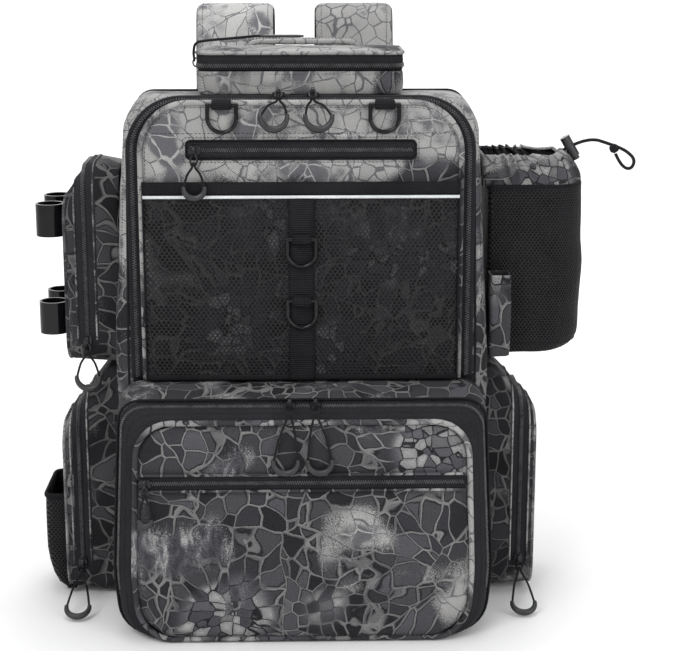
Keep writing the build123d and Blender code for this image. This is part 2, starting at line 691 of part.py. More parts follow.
def hanging_pull(face, knee, bottom, width, aside):
    """Pull of two cord legs and a U grip that hangs by a link from the pin to the knee (y, z)."""
    pin = pin_of(face)
    eye, hole = eye_round(pin, Vector(1, 0, 0))
    knee_point = Vector(pin.X, knee[0], knee[1])
    radius = width / 2 - GRIP_R
    centre = Vector(pin.X + aside, knee[0], bottom + width / 2)
    pull = eye + rod(pin, knee_point, LINK_R) + Pos(knee_point) * Sphere(LINK_R)
    for side in (-1, 1):
        tip = centre + Vector(side * radius, 0, 0)
        pull += rod(knee_point, tip, LEG_R)
        pull += Pos(tip) * Sphere(GRIP_R)
    pull += bow(centre, radius, GRIP_R)
    return pull - hole


def facing_front(x, y, z):
    return Plane(origin=(x, y, z), x_dir=(1, 0, 0), z_dir=(0, -1, 0))


def facing_up(x, y, z):
    return Plane(origin=(x, y, z), x_dir=(1, 0, 0), z_dir=(0, 0, 1))


FLAP_ZIP_Y = FLAP_FRONT_Y - ZIP_T
PANEL_ZIP_Y = POCKET_FRONT_Y - ZIP_T

# name: (tape plane, way the zip runs, knee of the pull (y, z), lowest point, grip width,
#        grip's offset to the side, lean in degrees)
SLIDERS = {
    "main_left": (facing_up(-19, -56.5, TAPE_TOP_Z + 0.4), "x", (-70.8, 466.0), 437.0, 27.0, -4, 0),
    "main_right": (facing_up(10, -56.5, TAPE_TOP_Z + 0.4), "x", (-70.8, 466.0), 437.0, 27.0, 5, 0),
    "flap_pocket": (facing_front(-91, FLAP_ZIP_Y, FLAP_ZIP_Z), "x", (-73.0, 410.0), 379.0, 22.0, 0, 0),
    "lower_left_front": (facing_up(-11, -117.0, 210.4), "x", (-134.6, 208.0), 153.6, 25.0, -3.5, 0),
    "lower_right_front": (facing_up(11, -117.0, 210.4), "x", (-134.6, 208.0), 153.6, 25.0, 3.5, 0),
    "panel_pocket": (facing_front(-134, PANEL_ZIP_Y, PANEL_ZIP_Z), "x", (-136.0, 136.0), 108.0, 14.0, 0, 0),
    "upper_left": (facing_front(-UPPER_SPLIT, UPPER_Y[0], 246.0), "z", (-29.5, 236.0), 200.0, 25.0, 0, 0),
    "lower_left": (facing_front(-LOWER_SPLIT, LOWER_Y[0], 34.0), "z", (-28.4, 22.0), -28.0, 25.0, 0, 56),
    "lower_right": (facing_front(RIGHT_SPLIT, LOWER_Y[0], 34.0), "z", (-28.4, 22.0), -28.0, 25.0, 0, 56),
}


def make_sliders_and_pulls():
    for name, (face, way, knee, bottom, width, aside, lean) in SLIDERS.items():
        save("slider_" + name, slider(face, way))
        pull = hanging_pull(face, knee, bottom, width, aside)
        pin = pin_of(face)
        if lean:
            pull = pull.rotate(Axis(pin, (1, 0, 0)), -lean)
        save("pull_" + name, pull)


def make_top_case_pull():
    """Slider on the left side of the case, and its long pull of cord and flat tab laid over the lid."""
    tape_point = (CASE_X[0], CASE_PULL_Y, CASE_SEAM_Z + CASE_ZIP_UP)
    face = Plane(origin=tape_point, x_dir=(0, 1, 0), z_dir=(-1, 0, 0))
    save("slider_top_case", slider(face, "x"))
    pin = pin_of(face)
    eye, hole = eye_round(pin, Vector(0, 1, 0))
    rise_x, rise_z = CASE_PULL_RISE
    bend = Vector(pin.X + LEG_R / 2, pin.Y, CASE_PULL_TOP)
    rise = Vector(rise_x, pin.Y, rise_z)
    tab = block(rise_x, CASE_TAB_END, pin.Y - CASE_TAB_HALF, pin.Y + CASE_TAB_HALF, *CASE_TAB_Z)
    cord = rod(pin, bend, LEG_R) + Pos(bend) * Sphere(LEG_R) + rod(bend, rise, LEG_R)
    save("pull_top_case", eye + cord + tab - hole)


# ---------------------------------------------------------------- shoulder straps

def ladder_lock(x):
    """Flat buckle with two slots, under the end of a strap."""
    end_y, end_z = STRAP_ROUTE[-1]
    top = end_z - LOCK_UNDER_STRAP
    low = top - LOCK_TALL
    y0 = end_y - LOCK_FACE
    y1 = y0 + LOCK_T
    frame = block(x - LOCK_HALF, x + LOCK_HALF, y0, y1, low, top)
    for up in LOCK_SLOTS:
        slot_z = (low + up, low + up + LOCK_SLOT_TALL)
        frame -= block(x - LOCK_SLOT_HALF, x + LOCK_SLOT_HALF, y0 - 1, y1 + 1, *slot_z)
    return frame


def make_straps():
    plane = Plane(origin=(0, 0, 0), x_dir=(0, 1, 0), z_dir=(1, 0, 0))
    padded = plane * trace(FilletPolyline(*STRAP_ROUTE, radius=STRAP_RADII), line_width=STRAP_T)
    for name, x in zip(("left", "right"), STRAP_X):
        strap = extrude(Pos(x - STRAP_WIDE / 2, 0, 0) * padded, amount=STRAP_WIDE, dir=(1, 0, 0))
        save("shoulder_strap_" + name, strap)
    save("ladder_locks", *[ladder_lock(x) for x in STRAP_X])

    end_y, end_z = STRAP_ROUTE[-1]
    lock_low = end_z - LOCK_UNDER_STRAP - LOCK_TALL
    web_start = (end_y - LOCK_FACE + 0.6 * LOCK_T, lock_low - GAP / 2)
    web_path = FilletPolyline(web_start, *WEB_ROUTE_END, radius=[WEB_RADIUS, WEB_RADIUS])
    web = plane * trace(web_path, line_width=WEB_T)
    webs = [extrude(Pos(x - WEB_WIDE / 2, 0, 0) * web, amount=WEB_WIDE, dir=(1, 0, 0)) for x in STRAP_X]
    save("lower_webbing", *webs)


make_main_compartment()
make_main_zip_tape()
make_front_flap()
make_mesh_pocket()
make_flap_webbing()
make_d_rings()
make_flap_pocket_zip()
make_lower_pocket()
make_top_case()
make_carry_handle()
make_side_pockets()
make_rod_holder()
make_bottle_pocket()
make_tool_sleeve()
make_drawcord()
make_cord_lock()
make_sliders_and_pulls()
make_top_case_pull()
make_straps()
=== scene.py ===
import math
import random

import bmesh
import bpy
from mathutils import Matrix, Vector, noise


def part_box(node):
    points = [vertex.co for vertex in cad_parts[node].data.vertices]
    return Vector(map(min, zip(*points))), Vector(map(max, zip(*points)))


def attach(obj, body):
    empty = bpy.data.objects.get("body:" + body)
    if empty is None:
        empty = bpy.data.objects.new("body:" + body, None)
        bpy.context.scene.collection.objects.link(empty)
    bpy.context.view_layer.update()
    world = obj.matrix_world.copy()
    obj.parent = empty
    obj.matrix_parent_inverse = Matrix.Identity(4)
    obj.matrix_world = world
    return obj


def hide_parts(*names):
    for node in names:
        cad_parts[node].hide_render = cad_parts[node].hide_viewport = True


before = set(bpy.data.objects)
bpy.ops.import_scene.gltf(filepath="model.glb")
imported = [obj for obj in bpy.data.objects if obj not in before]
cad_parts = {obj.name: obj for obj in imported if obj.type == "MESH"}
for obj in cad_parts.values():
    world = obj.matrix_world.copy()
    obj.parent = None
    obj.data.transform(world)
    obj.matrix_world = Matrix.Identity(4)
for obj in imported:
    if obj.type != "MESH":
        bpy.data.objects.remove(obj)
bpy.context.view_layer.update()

# A tackle backpack in the CAD frame: X right, Y back, Z up, the floor at z = 0. Sizes are in millimetres
# unless a comment says metres, and MM turns them into metres where a mesh is made.
MM = 0.001
FRONT = Vector((0, -1, 0))
UP = Vector((0, 0, 1))
ACROSS = Vector((1, 0, 0))
CAMERA_PLACE = (0.0, -1.46, 0.600)    # metres
CAMERA_LENS = 87.2                    # mm, on the sensor's width
SENSOR_WIDTH = 36.0
CAMERA_DROP = 13.4                    # degrees the camera looks down
CAMERA_TURN = 1.34                    # degrees it looks to the right


# ================================================================ camera

def make_camera():
    """Camera in front of the bag, looking slightly down at it."""
    data = bpy.data.cameras.new("camera")
    data.lens = CAMERA_LENS
    data.sensor_width = SENSOR_WIDTH
    camera = bpy.data.objects.new("camera", data)
    camera.location = CAMERA_PLACE
    camera.rotation_euler = (math.radians(90 - CAMERA_DROP), 0, math.radians(-CAMERA_TURN))
    bpy.context.scene.collection.objects.link(camera)
    bpy.context.scene.camera = camera


make_camera()


# ================================================================ node materials

class Maker:
    """Builds one node material. Values are numbers, colours or sockets."""

    def __init__(self, name):
        self.material = bpy.data.materials.new(name)
        self.material.use_nodes = True
        self.tree = self.material.node_tree
        self.tree.nodes.clear()
        self.coords = self.node("ShaderNodeTexCoord").outputs["Object"]

    def put(self, socket, value):
        """Link a socket to another one, or set its value."""
        if isinstance(value, bpy.types.NodeSocket):
            self.tree.links.new(value, socket)
        elif isinstance(value, (tuple, list)) and len(value) == 3 and socket.type == "RGBA":
            socket.default_value = (*value, 1.0)
        else:
            socket.default_value = value

    def node(self, kind, inputs=None, **settings):
        made = self.tree.nodes.new(kind)
        for key, value in settings.items():
            setattr(made, key, value)
        for key, value in (inputs or {}).items():
            self.put(made.inputs[key], value)
        return made

    def math(self, operation, first, second=0.0, third=0.0, clamp=False):
        made = self.node("ShaderNodeMath", {0: first, 1: second, 2: third}, operation=operation)
        made.use_clamp = clamp
        return made.outputs[0]

    def vector(self, operation, first, second=(0, 0, 0), scale=1.0):
        made = self.node("ShaderNodeVectorMath", {0: first, 1: second}, operation=operation)
        made.inputs[3].default_value = scale
        return made.outputs["Value"] if operation in ("LENGTH", "DOT_PRODUCT") else made.outputs[0]

    def noise(self, coords, scale, detail=2.0, rough=0.5, colour=False):
        made = self.node("ShaderNodeTexNoise",
                         {"Vector": coords, "Scale": scale, "Detail": detail, "Roughness": rough})
        return made.outputs["Color" if colour else "Fac"]

    def voronoi(self, coords, scale, feature="F1", random=1.0):
        return self.node("ShaderNodeTexVoronoi", {"Vector": coords, "Scale": scale, "Randomness": random},
                         feature=feature)

    def ramp(self, value, stops, mode="LINEAR"):
        """Colour ramp through the stops."""
        made = self.node("ShaderNodeValToRGB", {"Fac": value})
        made.color_ramp.interpolation = mode
        elements = made.color_ramp.elements
        while len(elements) < len(stops):
            elements.new(1.0)
        for element, (place, colour) in zip(elements, stops):
            element.position = place
            shade = (colour,) * 3 if isinstance(colour, (int, float)) else colour
            element.color = (*shade, 1.0)
        return made.outputs["Color"]

    def step(self, value, low, high, out_low=0.0, out_high=1.0):
        """The value, mapped from the range low to high onto another range."""
        inputs = {"Value": value, "From Min": low, "From Max": high, "To Min": out_low, "To Max": out_high}
        made = self.node("ShaderNodeMapRange", inputs, clamp=True)
        return made.outputs["Result"]

    def mix(self, factor, first, second, mode="MIX"):
        """Two colours blended by a factor."""
        made = self.node("ShaderNodeMix", data_type="RGBA", blend_type=mode)
        self.put(made.inputs[0], factor)
        self.put(made.inputs[6], first)
        self.put(made.inputs[7], second)
        return made.outputs[2]

    def bump(self, height, strength, distance=0.001, normal=None):
        """Normal bent by a height."""
        made = self.node("ShaderNodeBump", {"Height": height})
        made.inputs["Strength"].default_value = strength
        made.inputs["Distance"].default_value = distance
        if normal is not None:
            self.put(made.inputs["Normal"], normal)
        return made.outputs["Normal"]

    def shader(self, colour, roughness, normal=None, metallic=0.0, specular=0.5):
        shader = self.node("ShaderNodeBsdfPrincipled")
        self.put(shader.inputs["Base Color"], colour)
        self.put(shader.inputs["Roughness"], roughness)
        shader.inputs["Metallic"].default_value = metallic
        shader.inputs["Specular IOR Level"].default_value = specular
        if normal is not None:
            self.put(shader.inputs["Normal"], normal)
        out = self.node("ShaderNodeOutputMaterial")
        self.tree.links.new(shader.outputs[0], out.inputs["Surface"])
        return self.material


def weave(maker, pitch, coords=None):
    """Height of a plain weave of the given pitch in metres, on whichever face it lies."""
    coords = coords or maker.coords
    parts = maker.node("ShaderNodeSeparateXYZ", {0: coords})
    turn = 2 * math.pi / pitch
    waves = []
    for axis in ("X", "Y", "Z"):
        scaled = maker.math("MULTIPLY", parts.outputs[axis], turn)
        waves.append(maker.math("SINE", scaled))
    first = maker.math("MULTIPLY", waves[0], waves[2])
    second = maker.math("MULTIPLY", waves[1], waves[2])
    third = maker.math("MULTIPLY", waves[0], waves[1])
    total = maker.math("ADD", maker.math("ADD", first, second), third)
    return maker.math("MULTIPLY", total, 0.5)


CAMO_DARK = (0.016, 0.016, 0.018)
CAMO_SLATE = (0.036, 0.036, 0.041)
CAMO_CHARCOAL = (0.055, 0.055, 0.060)
CAMO_MID = (0.085, 0.084, 0.094)
CAMO_GREY = (0.165, 0.164, 0.165)
CAMO_PALE = (0.360, 0.358, 0.351)
CLUSTER_SPACING = 0.105    # metres between neighbouring clusters of scales
PETAL_REACH = 0.038        # metres from a cluster's middle at which its scales have become long petals
SCALE_COUNT = 6.5          # the most scales met on the way out from the middle
OUTLINE_HALF = 0.00064     # half the width of a scale's outline, in metres
EVENNESS = 0.62            # 0 is a square grid of scales, 1 a fully random one
CLUSTER_EVENNESS = 0.85
LIGHT_FROM, LIGHT_TO = 0.37, 0.43     # heights in metres between which the cloth turns paler
TWILL_PITCH = 0.0025       # metres between diagonal ribs, measured along X
YARN_PITCH = 0.0015        # metres between yarns
WEBBING_RIB = 0.0019       # metres between ribs
CORD_STRAND = 0.0017       # metres between strands


def camo_scales(maker, flat, warped, grain):
    """Scales in clusters. Gives the reach from the cluster's middle, the depth inside a scale and the same
    with a ragged edge, all in metres, and two random values for each scale."""
    scaled = maker.vector("SCALE", warped, scale=1 / CLUSTER_SPACING)
    cluster = maker.voronoi(scaled, 1.0, "F1", CLUSTER_EVENNESS)
    local = maker.vector("SCALE", maker.vector("SUBTRACT", scaled, cluster.outputs["Position"]),
                         scale=CLUSTER_SPACING)
    reach = maker.math("ADD", maker.vector("LENGTH", local), 0.0001)
    squeeze = maker.math("DIVIDE", SCALE_COUNT, maker.math("ADD", reach, PETAL_REACH))
    parts = maker.node("ShaderNodeSeparateXYZ", {0: local})
    shift = maker.node("ShaderNodeSeparateColor", {0: cluster.outputs["Color"]})
    axes = [maker.math("MULTIPLY_ADD", parts.outputs[k], squeeze,
                       maker.math("MULTIPLY", shift.outputs[k], 20.0))
            for k in range(3)]
    place = maker.node("ShaderNodeCombineXYZ", {0: axes[0], 1: axes[1], 2: axes[2]}).outputs[0]
    edge = maker.voronoi(place, 1.0, "DISTANCE_TO_EDGE", EVENNESS).outputs["Distance"]
    tones = maker.node("ShaderNodeSeparateColor",
                       {0: maker.voronoi(place, 1.0, "F1", EVENNESS).outputs["Color"]})
    tone, other = tones.outputs[0], tones.outputs[1]
    depth = maker.math("DIVIDE", edge, squeeze)
    border = maker.voronoi(scaled, 1.0, "DISTANCE_TO_EDGE", CLUSTER_EVENNESS).outputs["Distance"]
    depth = maker.math("MINIMUM", depth, maker.math("MULTIPLY", border, CLUSTER_SPACING))
    depth = maker.math("MULTIPLY", depth, maker.step(maker.noise(flat, 55.0), 0.35, 0.65, 0.75, 1.7))
    ragged = maker.math("MULTIPLY_ADD", grain, 0.0010, depth)
    return reach, depth, ragged, tone, other


def camo_colour(maker, offset, turn, lightness=0.0):
    """Grey scale camouflage. Small hexagons sit in the middle of each cluster, long petals round them and
    dark scales with pale outlines further out. Light zones are pale cloth with thin outlines and stippled
    patches."""
    flat = maker.node("ShaderNodeMapping", {"Vector": maker.coords, "Location": offset,
                                            "Rotation": turn}).outputs[0]
    drift = maker.noise(flat, 22.0, 2.0, colour=True)
    drift = maker.vector("SCALE", maker.vector("SUBTRACT", drift, (0.5, 0.5, 0.5)), scale=0.022)
    warped = maker.vector("ADD", flat, drift)
    grain = maker.math("SUBTRACT", maker.noise(flat, 1100.0, 2.0, 0.8), 0.5)

    reach, depth, ragged, tone, other = camo_scales(maker, flat, warped, grain)
    petal = maker.step(reach, 0.030, 0.044, 1.0, 0.0)
    cloud = maker.noise(warped, 9.0, 2.0, 0.5)
    outer = maker.step(maker.math("MULTIPLY_ADD", cloud, 0.05, reach), 0.056, 0.066)
    thin = maker.step(ragged, OUTLINE_HALF * 0.5, OUTLINE_HALF)
    wide = maker.step(ragged, OUTLINE_HALF * 1.0, OUTLINE_HALF * 1.6)
    rim = maker.step(ragged, OUTLINE_HALF * 2.0, OUTLINE_HALF * 2.8)
    middle = maker.step(maker.math("MULTIPLY_ADD", grain, 0.010, depth), 0.0008, 0.0062)

    level = maker.math("MULTIPLY_ADD", petal, 0.30, maker.math("MULTIPLY", tone, 0.72))
    inner_fill = maker.ramp(level, [(0.0, CAMO_DARK), (0.34, CAMO_SLATE), (0.55, CAMO_MID), (0.66, CAMO_GREY),
                                    (0.76, CAMO_PALE)])
    inner_fill = maker.mix(middle, maker.mix(0.55, inner_fill, CAMO_MID), inner_fill)
    inner = maker.mix(thin, CAMO_DARK, inner_fill)
    fills = [(0.0, CAMO_DARK), (0.45, CAMO_SLATE), (0.8, CAMO_CHARCOAL), (1.0, CAMO_MID)]
    outer_fill = maker.ramp(tone, fills)
    outer_fill = maker.mix(rim, CAMO_DARK, outer_fill)
    outer_scale = maker.mix(wide, maker.mix(other, (0.085, 0.085, 0.089), (0.200, 0.199, 0.197)), outer_fill)
    dark_zone = maker.mix(outer, inner, outer_scale)

    shifted = maker.vector("ADD", flat, (3.1, 1.7, 4.3))
    patch_noise = maker.math("MULTIPLY_ADD", grain, 0.34, maker.noise(shifted, 26.0, 2.0, 0.55))
    patch = maker.step(patch_noise, 0.562, 0.605)
    light_fill = maker.mix(maker.math("MULTIPLY", tone, 0.3), CAMO_PALE, CAMO_GREY)
    light_fill = maker.mix(patch, light_fill, (0.115, 0.114, 0.124))
    light_line = maker.mix(patch, (0.120, 0.119, 0.128), CAMO_PALE)
    light_zone = maker.mix(thin, light_line, light_fill)

    height = maker.step(maker.node("ShaderNodeSeparateXYZ", {0: maker.coords}).outputs["Z"], LIGHT_FROM,
                        LIGHT_TO, -0.05, 0.24)
    zone = maker.math("ADD", cloud, maker.math("ADD", height, lightness))
    zone = maker.math("MULTIPLY_ADD", grain, 0.14, zone)
    colour = maker.mix(maker.step(zone, 0.585, 0.625), dark_zone, light_zone)

    brushed_place = maker.node("ShaderNodeMapping", {"Vector": warped, "Rotation": (0.0, 0.9, 0.3),
                                                     "Scale": (12.0, 12.0, 2.4)})
    brush = maker.math("MULTIPLY_ADD", grain, 0.5, maker.noise(brushed_place.outputs[0], 9.0, 3.0, 0.6))
    brushed = maker.ramp(brush, [(0.36, CAMO_SLATE), (0.52, CAMO_MID), (0.68, CAMO_PALE)])
    mask = maker.step(maker.math("MULTIPLY_ADD", grain, 0.16, maker.noise(shifted, 8.0, 2.0, 0.55)), 0.60,
                      0.66)
    colour = maker.mix(mask, colour, brushed)
    speckle = maker.step(grain, -0.25, 0.25, 0.72, 1.28)
    speckles = maker.node("ShaderNodeCombineColor", {0: speckle, 1: speckle, 2: speckle}).outputs[0]
    return maker.mix(1.0, colour, speckles, "MULTIPLY")


def twill(maker):
    """Fine diagonal yarns about 1.7 mm apart, as a height."""
    parts = maker.node("ShaderNodeSeparateXYZ", {0: maker.coords})
    across = maker.math("ADD", parts.outputs["X"], parts.outputs["Y"])
    slanted = maker.math("ADD", across, maker.math("MULTIPLY", parts.outputs["Z"], 1.1))
    rib = maker.math("SINE", maker.math("MULTIPLY", slanted, 2 * math.pi / TWILL_PITCH))
    return maker.math("ADD", maker.math("MULTIPLY", rib, 0.8),
                      maker.math("MULTIPLY", weave(maker, YARN_PITCH), 0.5))


def camo(name, offset=(0, 0, 0), turn=(0, 0, 0), lightness=0.0, painted_light_gain=1.0):
    """Camouflage cloth, with its own place in the print. Its last argument scales the whole colour: below 1
    it is painted shade, above 1 painted light.
    """
    maker = Maker(name)
    colour = camo_colour(maker, offset, turn, lightness)
    yarn = twill(maker)
    # The gain scales the colour here: painted shade on the side pockets, painted light on the left strap.
    shade = maker.step(yarn, -0.9, 0.9, 0.74 * painted_light_gain, 1.12 * painted_light_gain)
    shades = maker.node("ShaderNodeCombineColor", {0: shade, 1: shade, 2: shade}).outputs[0]
    toned = maker.mix(1.0, colour, shades, "MULTIPLY")
    rough = maker.step(maker.noise(maker.coords, 60.0), 0.3, 0.7, 0.78, 0.94)
    folds = maker.bump(maker.noise(maker.coords, 45.0, 3.0), 0.35, 0.0016)
    normal = maker.bump(yarn, 0.35, 0.0003, folds)
    return maker.shader(toned, rough, normal, specular=0.14)


def tape_material():
    """Zip tape: charcoal weave with fine lengthwise lines."""
    maker = Maker("zip_tape_weave")
    grain = maker.noise(maker.coords, 700.0, 2.0)
    cloud = maker.noise(maker.coords, 30.0, 2.0)
    mixed = maker.math("ADD", maker.math("MULTIPLY", grain, 0.5), maker.math("MULTIPLY", cloud, 0.5))
    colour = maker.ramp(mixed, [(0.35, (0.009, 0.009, 0.011)), (0.65, (0.021, 0.021, 0.024))])
    normal = maker.bump(weave(maker, 0.0010), 0.5, 0.0003)
    return maker.shader(colour, maker.step(cloud, 0.3, 0.7, 0.70, 0.86), normal, specular=0.16)


def webbing_material():
    """Black webbing with ribs across its width."""
    maker = Maker("ribbed_webbing")
    parts = maker.node("ShaderNodeSeparateXYZ", {0: maker.coords})
    turn = 2 * math.pi / WEBBING_RIB
    along = maker.math("ADD", parts.outputs["Z"], maker.math("MULTIPLY", parts.outputs["Y"], 0.6))
    rib = maker.math("SINE", maker.math("MULTIPLY", along, turn))
    edge = maker.math("SINE", maker.math("MULTIPLY", parts.outputs["X"], turn * 1.6))
    height = maker.math("ADD", rib, maker.math("MULTIPLY", edge, 0.4))
    shade = maker.step(height, -1.2, 1.2)
    # Ribs painted darker in their hollows and lighter on their crowns as painted shade, mixed with random
    # mottling.
    rib_shade_and_mottle = maker.math("ADD", maker.math("MULTIPLY", shade, 0.6),
                      maker.math("MULTIPLY", maker.noise(maker.coords, 90.0), 0.4))
    colour = maker.ramp(rib_shade_and_mottle, [(0.2, (0.004, 0.004, 0.005)), (0.9, (0.022, 0.022, 0.025))])
    return maker.shader(colour, 0.76, maker.bump(height, 0.8, 0.0004), specular=0.16)


def mesh_material(name, pitch, behind):
    """Knitted mesh: threads round rows of staggered holes. Through the holes shows `behind`, a function of
    the maker."""
    maker = Maker(name)
    parts = maker.node("ShaderNodeSeparateXYZ", {0: maker.coords})
    across = maker.math("ADD", parts.outputs["X"], parts.outputs["Y"])
    root = math.sqrt(3.0)

    def distance(shift):
        cells = []
        for value, size in ((across, 1.0), (parts.outputs["Z"], root * 0.8)):
            scaled = maker.math("DIVIDE", value, pitch * size)
            moved = maker.math("ADD", scaled, shift)
            local = maker.math("SUBTRACT", maker.math("FRACT", moved), 0.5)
            cells.append(maker.math("MULTIPLY", local, size))
        square = maker.math("ADD", maker.math("POWER", cells[0], 2.0), maker.math("POWER", cells[1], 2.0))
        return maker.math("SQRT", square)

    nearest = maker.math("MINIMUM", distance(100.0), distance(100.5))
    hole = maker.step(nearest, 0.30, 0.36, 1.0, 0.0)
    thread = maker.ramp(maker.noise(maker.coords, 800.0),
                        [(0.3, (0.008, 0.008, 0.009)), (0.7, (0.024, 0.024, 0.026))])
    # The holes show painted shade: what lies behind the mesh, painted dark.
    colour = maker.mix(hole, thread, behind(maker))
    normal = maker.bump(maker.step(nearest, 0.25, 0.5), 0.9, 0.0007)
    rough = maker.step(hole, 0.0, 1.0, 0.44, 0.9)
    return maker.shader(colour, rough, normal, specular=0.18)


def fabric_material(name, low, high, pitch=0.0011, rough=0.85):
    """Plain woven cloth that varies between two colours."""
    maker = Maker(name)
    mixed = maker.math("ADD", maker.math("MULTIPLY", maker.noise(maker.coords, 600.0), 0.5),
                       maker.math("MULTIPLY", maker.noise(maker.coords, 25.0), 0.5))
    colour = maker.ramp(mixed, [(0.35, low), (0.65, high)])
    normal = maker.bump(weave(maker, pitch), 0.6, 0.0003)
    return maker.shader(colour, rough, normal, specular=0.14)


def moulded_material(name, low, high, rough_low, rough_high, metallic=0.0, grain=0.15, specular=0.5):
    """Moulded or plated surface: uneven gloss, fine grain and colour that varies in patches."""
    maker = Maker(name)
    cloud = maker.noise(maker.coords, 120.0, 4.0)
    colour = maker.ramp(cloud, [(0.3, low), (0.7, high)])
    rough = maker.step(maker.noise(maker.coords, 300.0, 3.0), 0.3, 0.7, rough_low, rough_high)
    normal = maker.bump(maker.noise(maker.coords, 1500.0, 2.0), grain, 0.0002)
    return maker.shader(colour, rough, normal, metallic=metallic, specular=specular)


def cord_material():
    """Braided cord: slanted strands."""
    maker = Maker("braided_cord")
    parts = maker.node("ShaderNodeSeparateXYZ", {0: maker.coords})
    along = maker.math("ADD", parts.outputs["X"], maker.math("MULTIPLY", parts.outputs["Z"], 1.2))
    first = maker.math("SINE", maker.math("MULTIPLY", along, 2 * math.pi / CORD_STRAND))
    back = maker.math("SUBTRACT", parts.outputs["X"], maker.math("MULTIPLY", parts.outputs["Z"], 1.2))
    second = maker.math("SINE", maker.math("MULTIPLY", back, 2 * math.pi / CORD_STRAND))
    height = maker.math("MULTIPLY", first, second)
    # Strands painted lighter on their crowns and darker between them: painted shade of the braid.
    colour = maker.ramp(maker.step(height, -1.0, 1.0),
                        [(0.1, (0.007, 0.007, 0.008)), (0.9, (0.026, 0.026, 0.029))])
    return maker.shader(colour, 0.75, maker.bump(height, 0.9, 0.0004), specular=0.18)


# Holes painted near black: painted shade of the inside seen through the mesh.
def painted_shade_behind(maker):
    return maker.ramp(maker.noise(maker.coords, 40.0),
                      [(0.3, (0.002, 0.002, 0.0025)), (0.7, (0.008, 0.008, 0.009))])


# The print behind the front mesh, darkened to 0.17 as painted shade.
def camo_behind_in_painted_shade(maker):
    seen = camo_colour(maker, (0, 0, 0), (0, 0, 0))
    return maker.mix(1.0, seen, (0.17, 0.17, 0.18), "MULTIPLY")


MAT = {
    "camo": camo("camo_body"),
    # Side pockets: the print darkened to 0.68 as painted shade.
    "camo_side_painted_shade": camo("camo_side_painted_shade", (1.3, 0.4, 0.7), (0.0, 0.0, 0.5), 0.0, 0.68),
    # Left strap: the print brightened by 1.4 as painted light.
    "camo_strap": camo("camo_strap_left_painted_light", (4.1, 2.4, 1.9), (0.3, 0.5, 0.0), 0.17, 1.4),
    "camo_strap_dark": camo("camo_strap_right", (2.6, 1.1, 5.2), (0.1, 0.9, 0.0), 0.0),
    "camo_pipe": camo("camo_piping", (2.2, 5.0, 3.0), (0.0, 0.4, 0.0), 0.12),
    "tape": tape_material(),
    "web": webbing_material(),
    "mesh_front": mesh_material("front_mesh", 0.0040, camo_behind_in_painted_shade),
    "mesh_side": mesh_material("side_mesh", 0.0034, painted_shade_behind),
    "lining": fabric_material("dark_lining", (0.020, 0.020, 0.023), (0.045, 0.045, 0.050)),
    "binding": fabric_material("black_binding", (0.006, 0.006, 0.007), (0.015, 0.015, 0.017)),
    "air_mesh": mesh_material("spacer_mesh", 0.0050, painted_shade_behind),
    "thread": fabric_material("sewing_thread", (0.030, 0.030, 0.034), (0.062, 0.062, 0.068), 0.0004),
    "thread_black": fabric_material("black_thread", (0.010, 0.010, 0.011), (0.028, 0.028, 0.030), 0.0004),
    "reflect": fabric_material("reflective_white", (0.62, 0.64, 0.66), (0.80, 0.82, 0.84), 0.0006, 0.45),
    # The coil's colour is paler than the black tape as a painted highlight for the glints on its teeth.
    "teeth": moulded_material("zip_coil", (0.028, 0.028, 0.030), (0.100, 0.100, 0.105), 0.24, 0.38),
    "metal": moulded_material("gunmetal", (0.012, 0.012, 0.014), (0.036, 0.036, 0.040), 0.20, 0.36,
                              metallic=0.6),
    "gloss": moulded_material("gloss_black", (0.003, 0.003, 0.004), (0.007, 0.007, 0.008), 0.10, 0.20,
                              grain=0.02, specular=0.3),
    "rubber": moulded_material("soft_grip", (0.014, 0.014, 0.016), (0.026, 0.027, 0.029), 0.34, 0.48),
    "plastic": moulded_material("moulded_black", (0.010, 0.010, 0.012), (0.026, 0.026, 0.029), 0.32, 0.50),
    "stiff": moulded_material("stiffener", (0.020, 0.020, 0.022), (0.034, 0.034, 0.037), 0.45, 0.62),
    "cord": cord_material(),
}


# ================================================================ geometry helpers

def add_object(name, vertices, faces, materials, indices=None):
    """Smooth mesh object from points in metres."""
    mesh = bpy.data.meshes.new(name)
    mesh.from_pydata([tuple(v) for v in vertices], [], faces)
    mesh.update()
    for key in materials if isinstance(materials, (list, tuple)) else [materials]:
        mesh.materials.append(MAT[key])
    if indices:
        for face, index in zip(mesh.polygons, indices):
            face.material_index = index
    mesh.polygons.foreach_set("use_smooth", [True] * len(mesh.polygons))
    made = bpy.data.objects.new(name, mesh)
    bpy.context.scene.collection.objects.link(made)
    return made


def settle(obj, body, *nodes, slot=None):
    """Ride obj on a body, and hide the CAD nodes that it stands for."""
    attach(obj, body)
    if nodes:
        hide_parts(*nodes)
    return obj


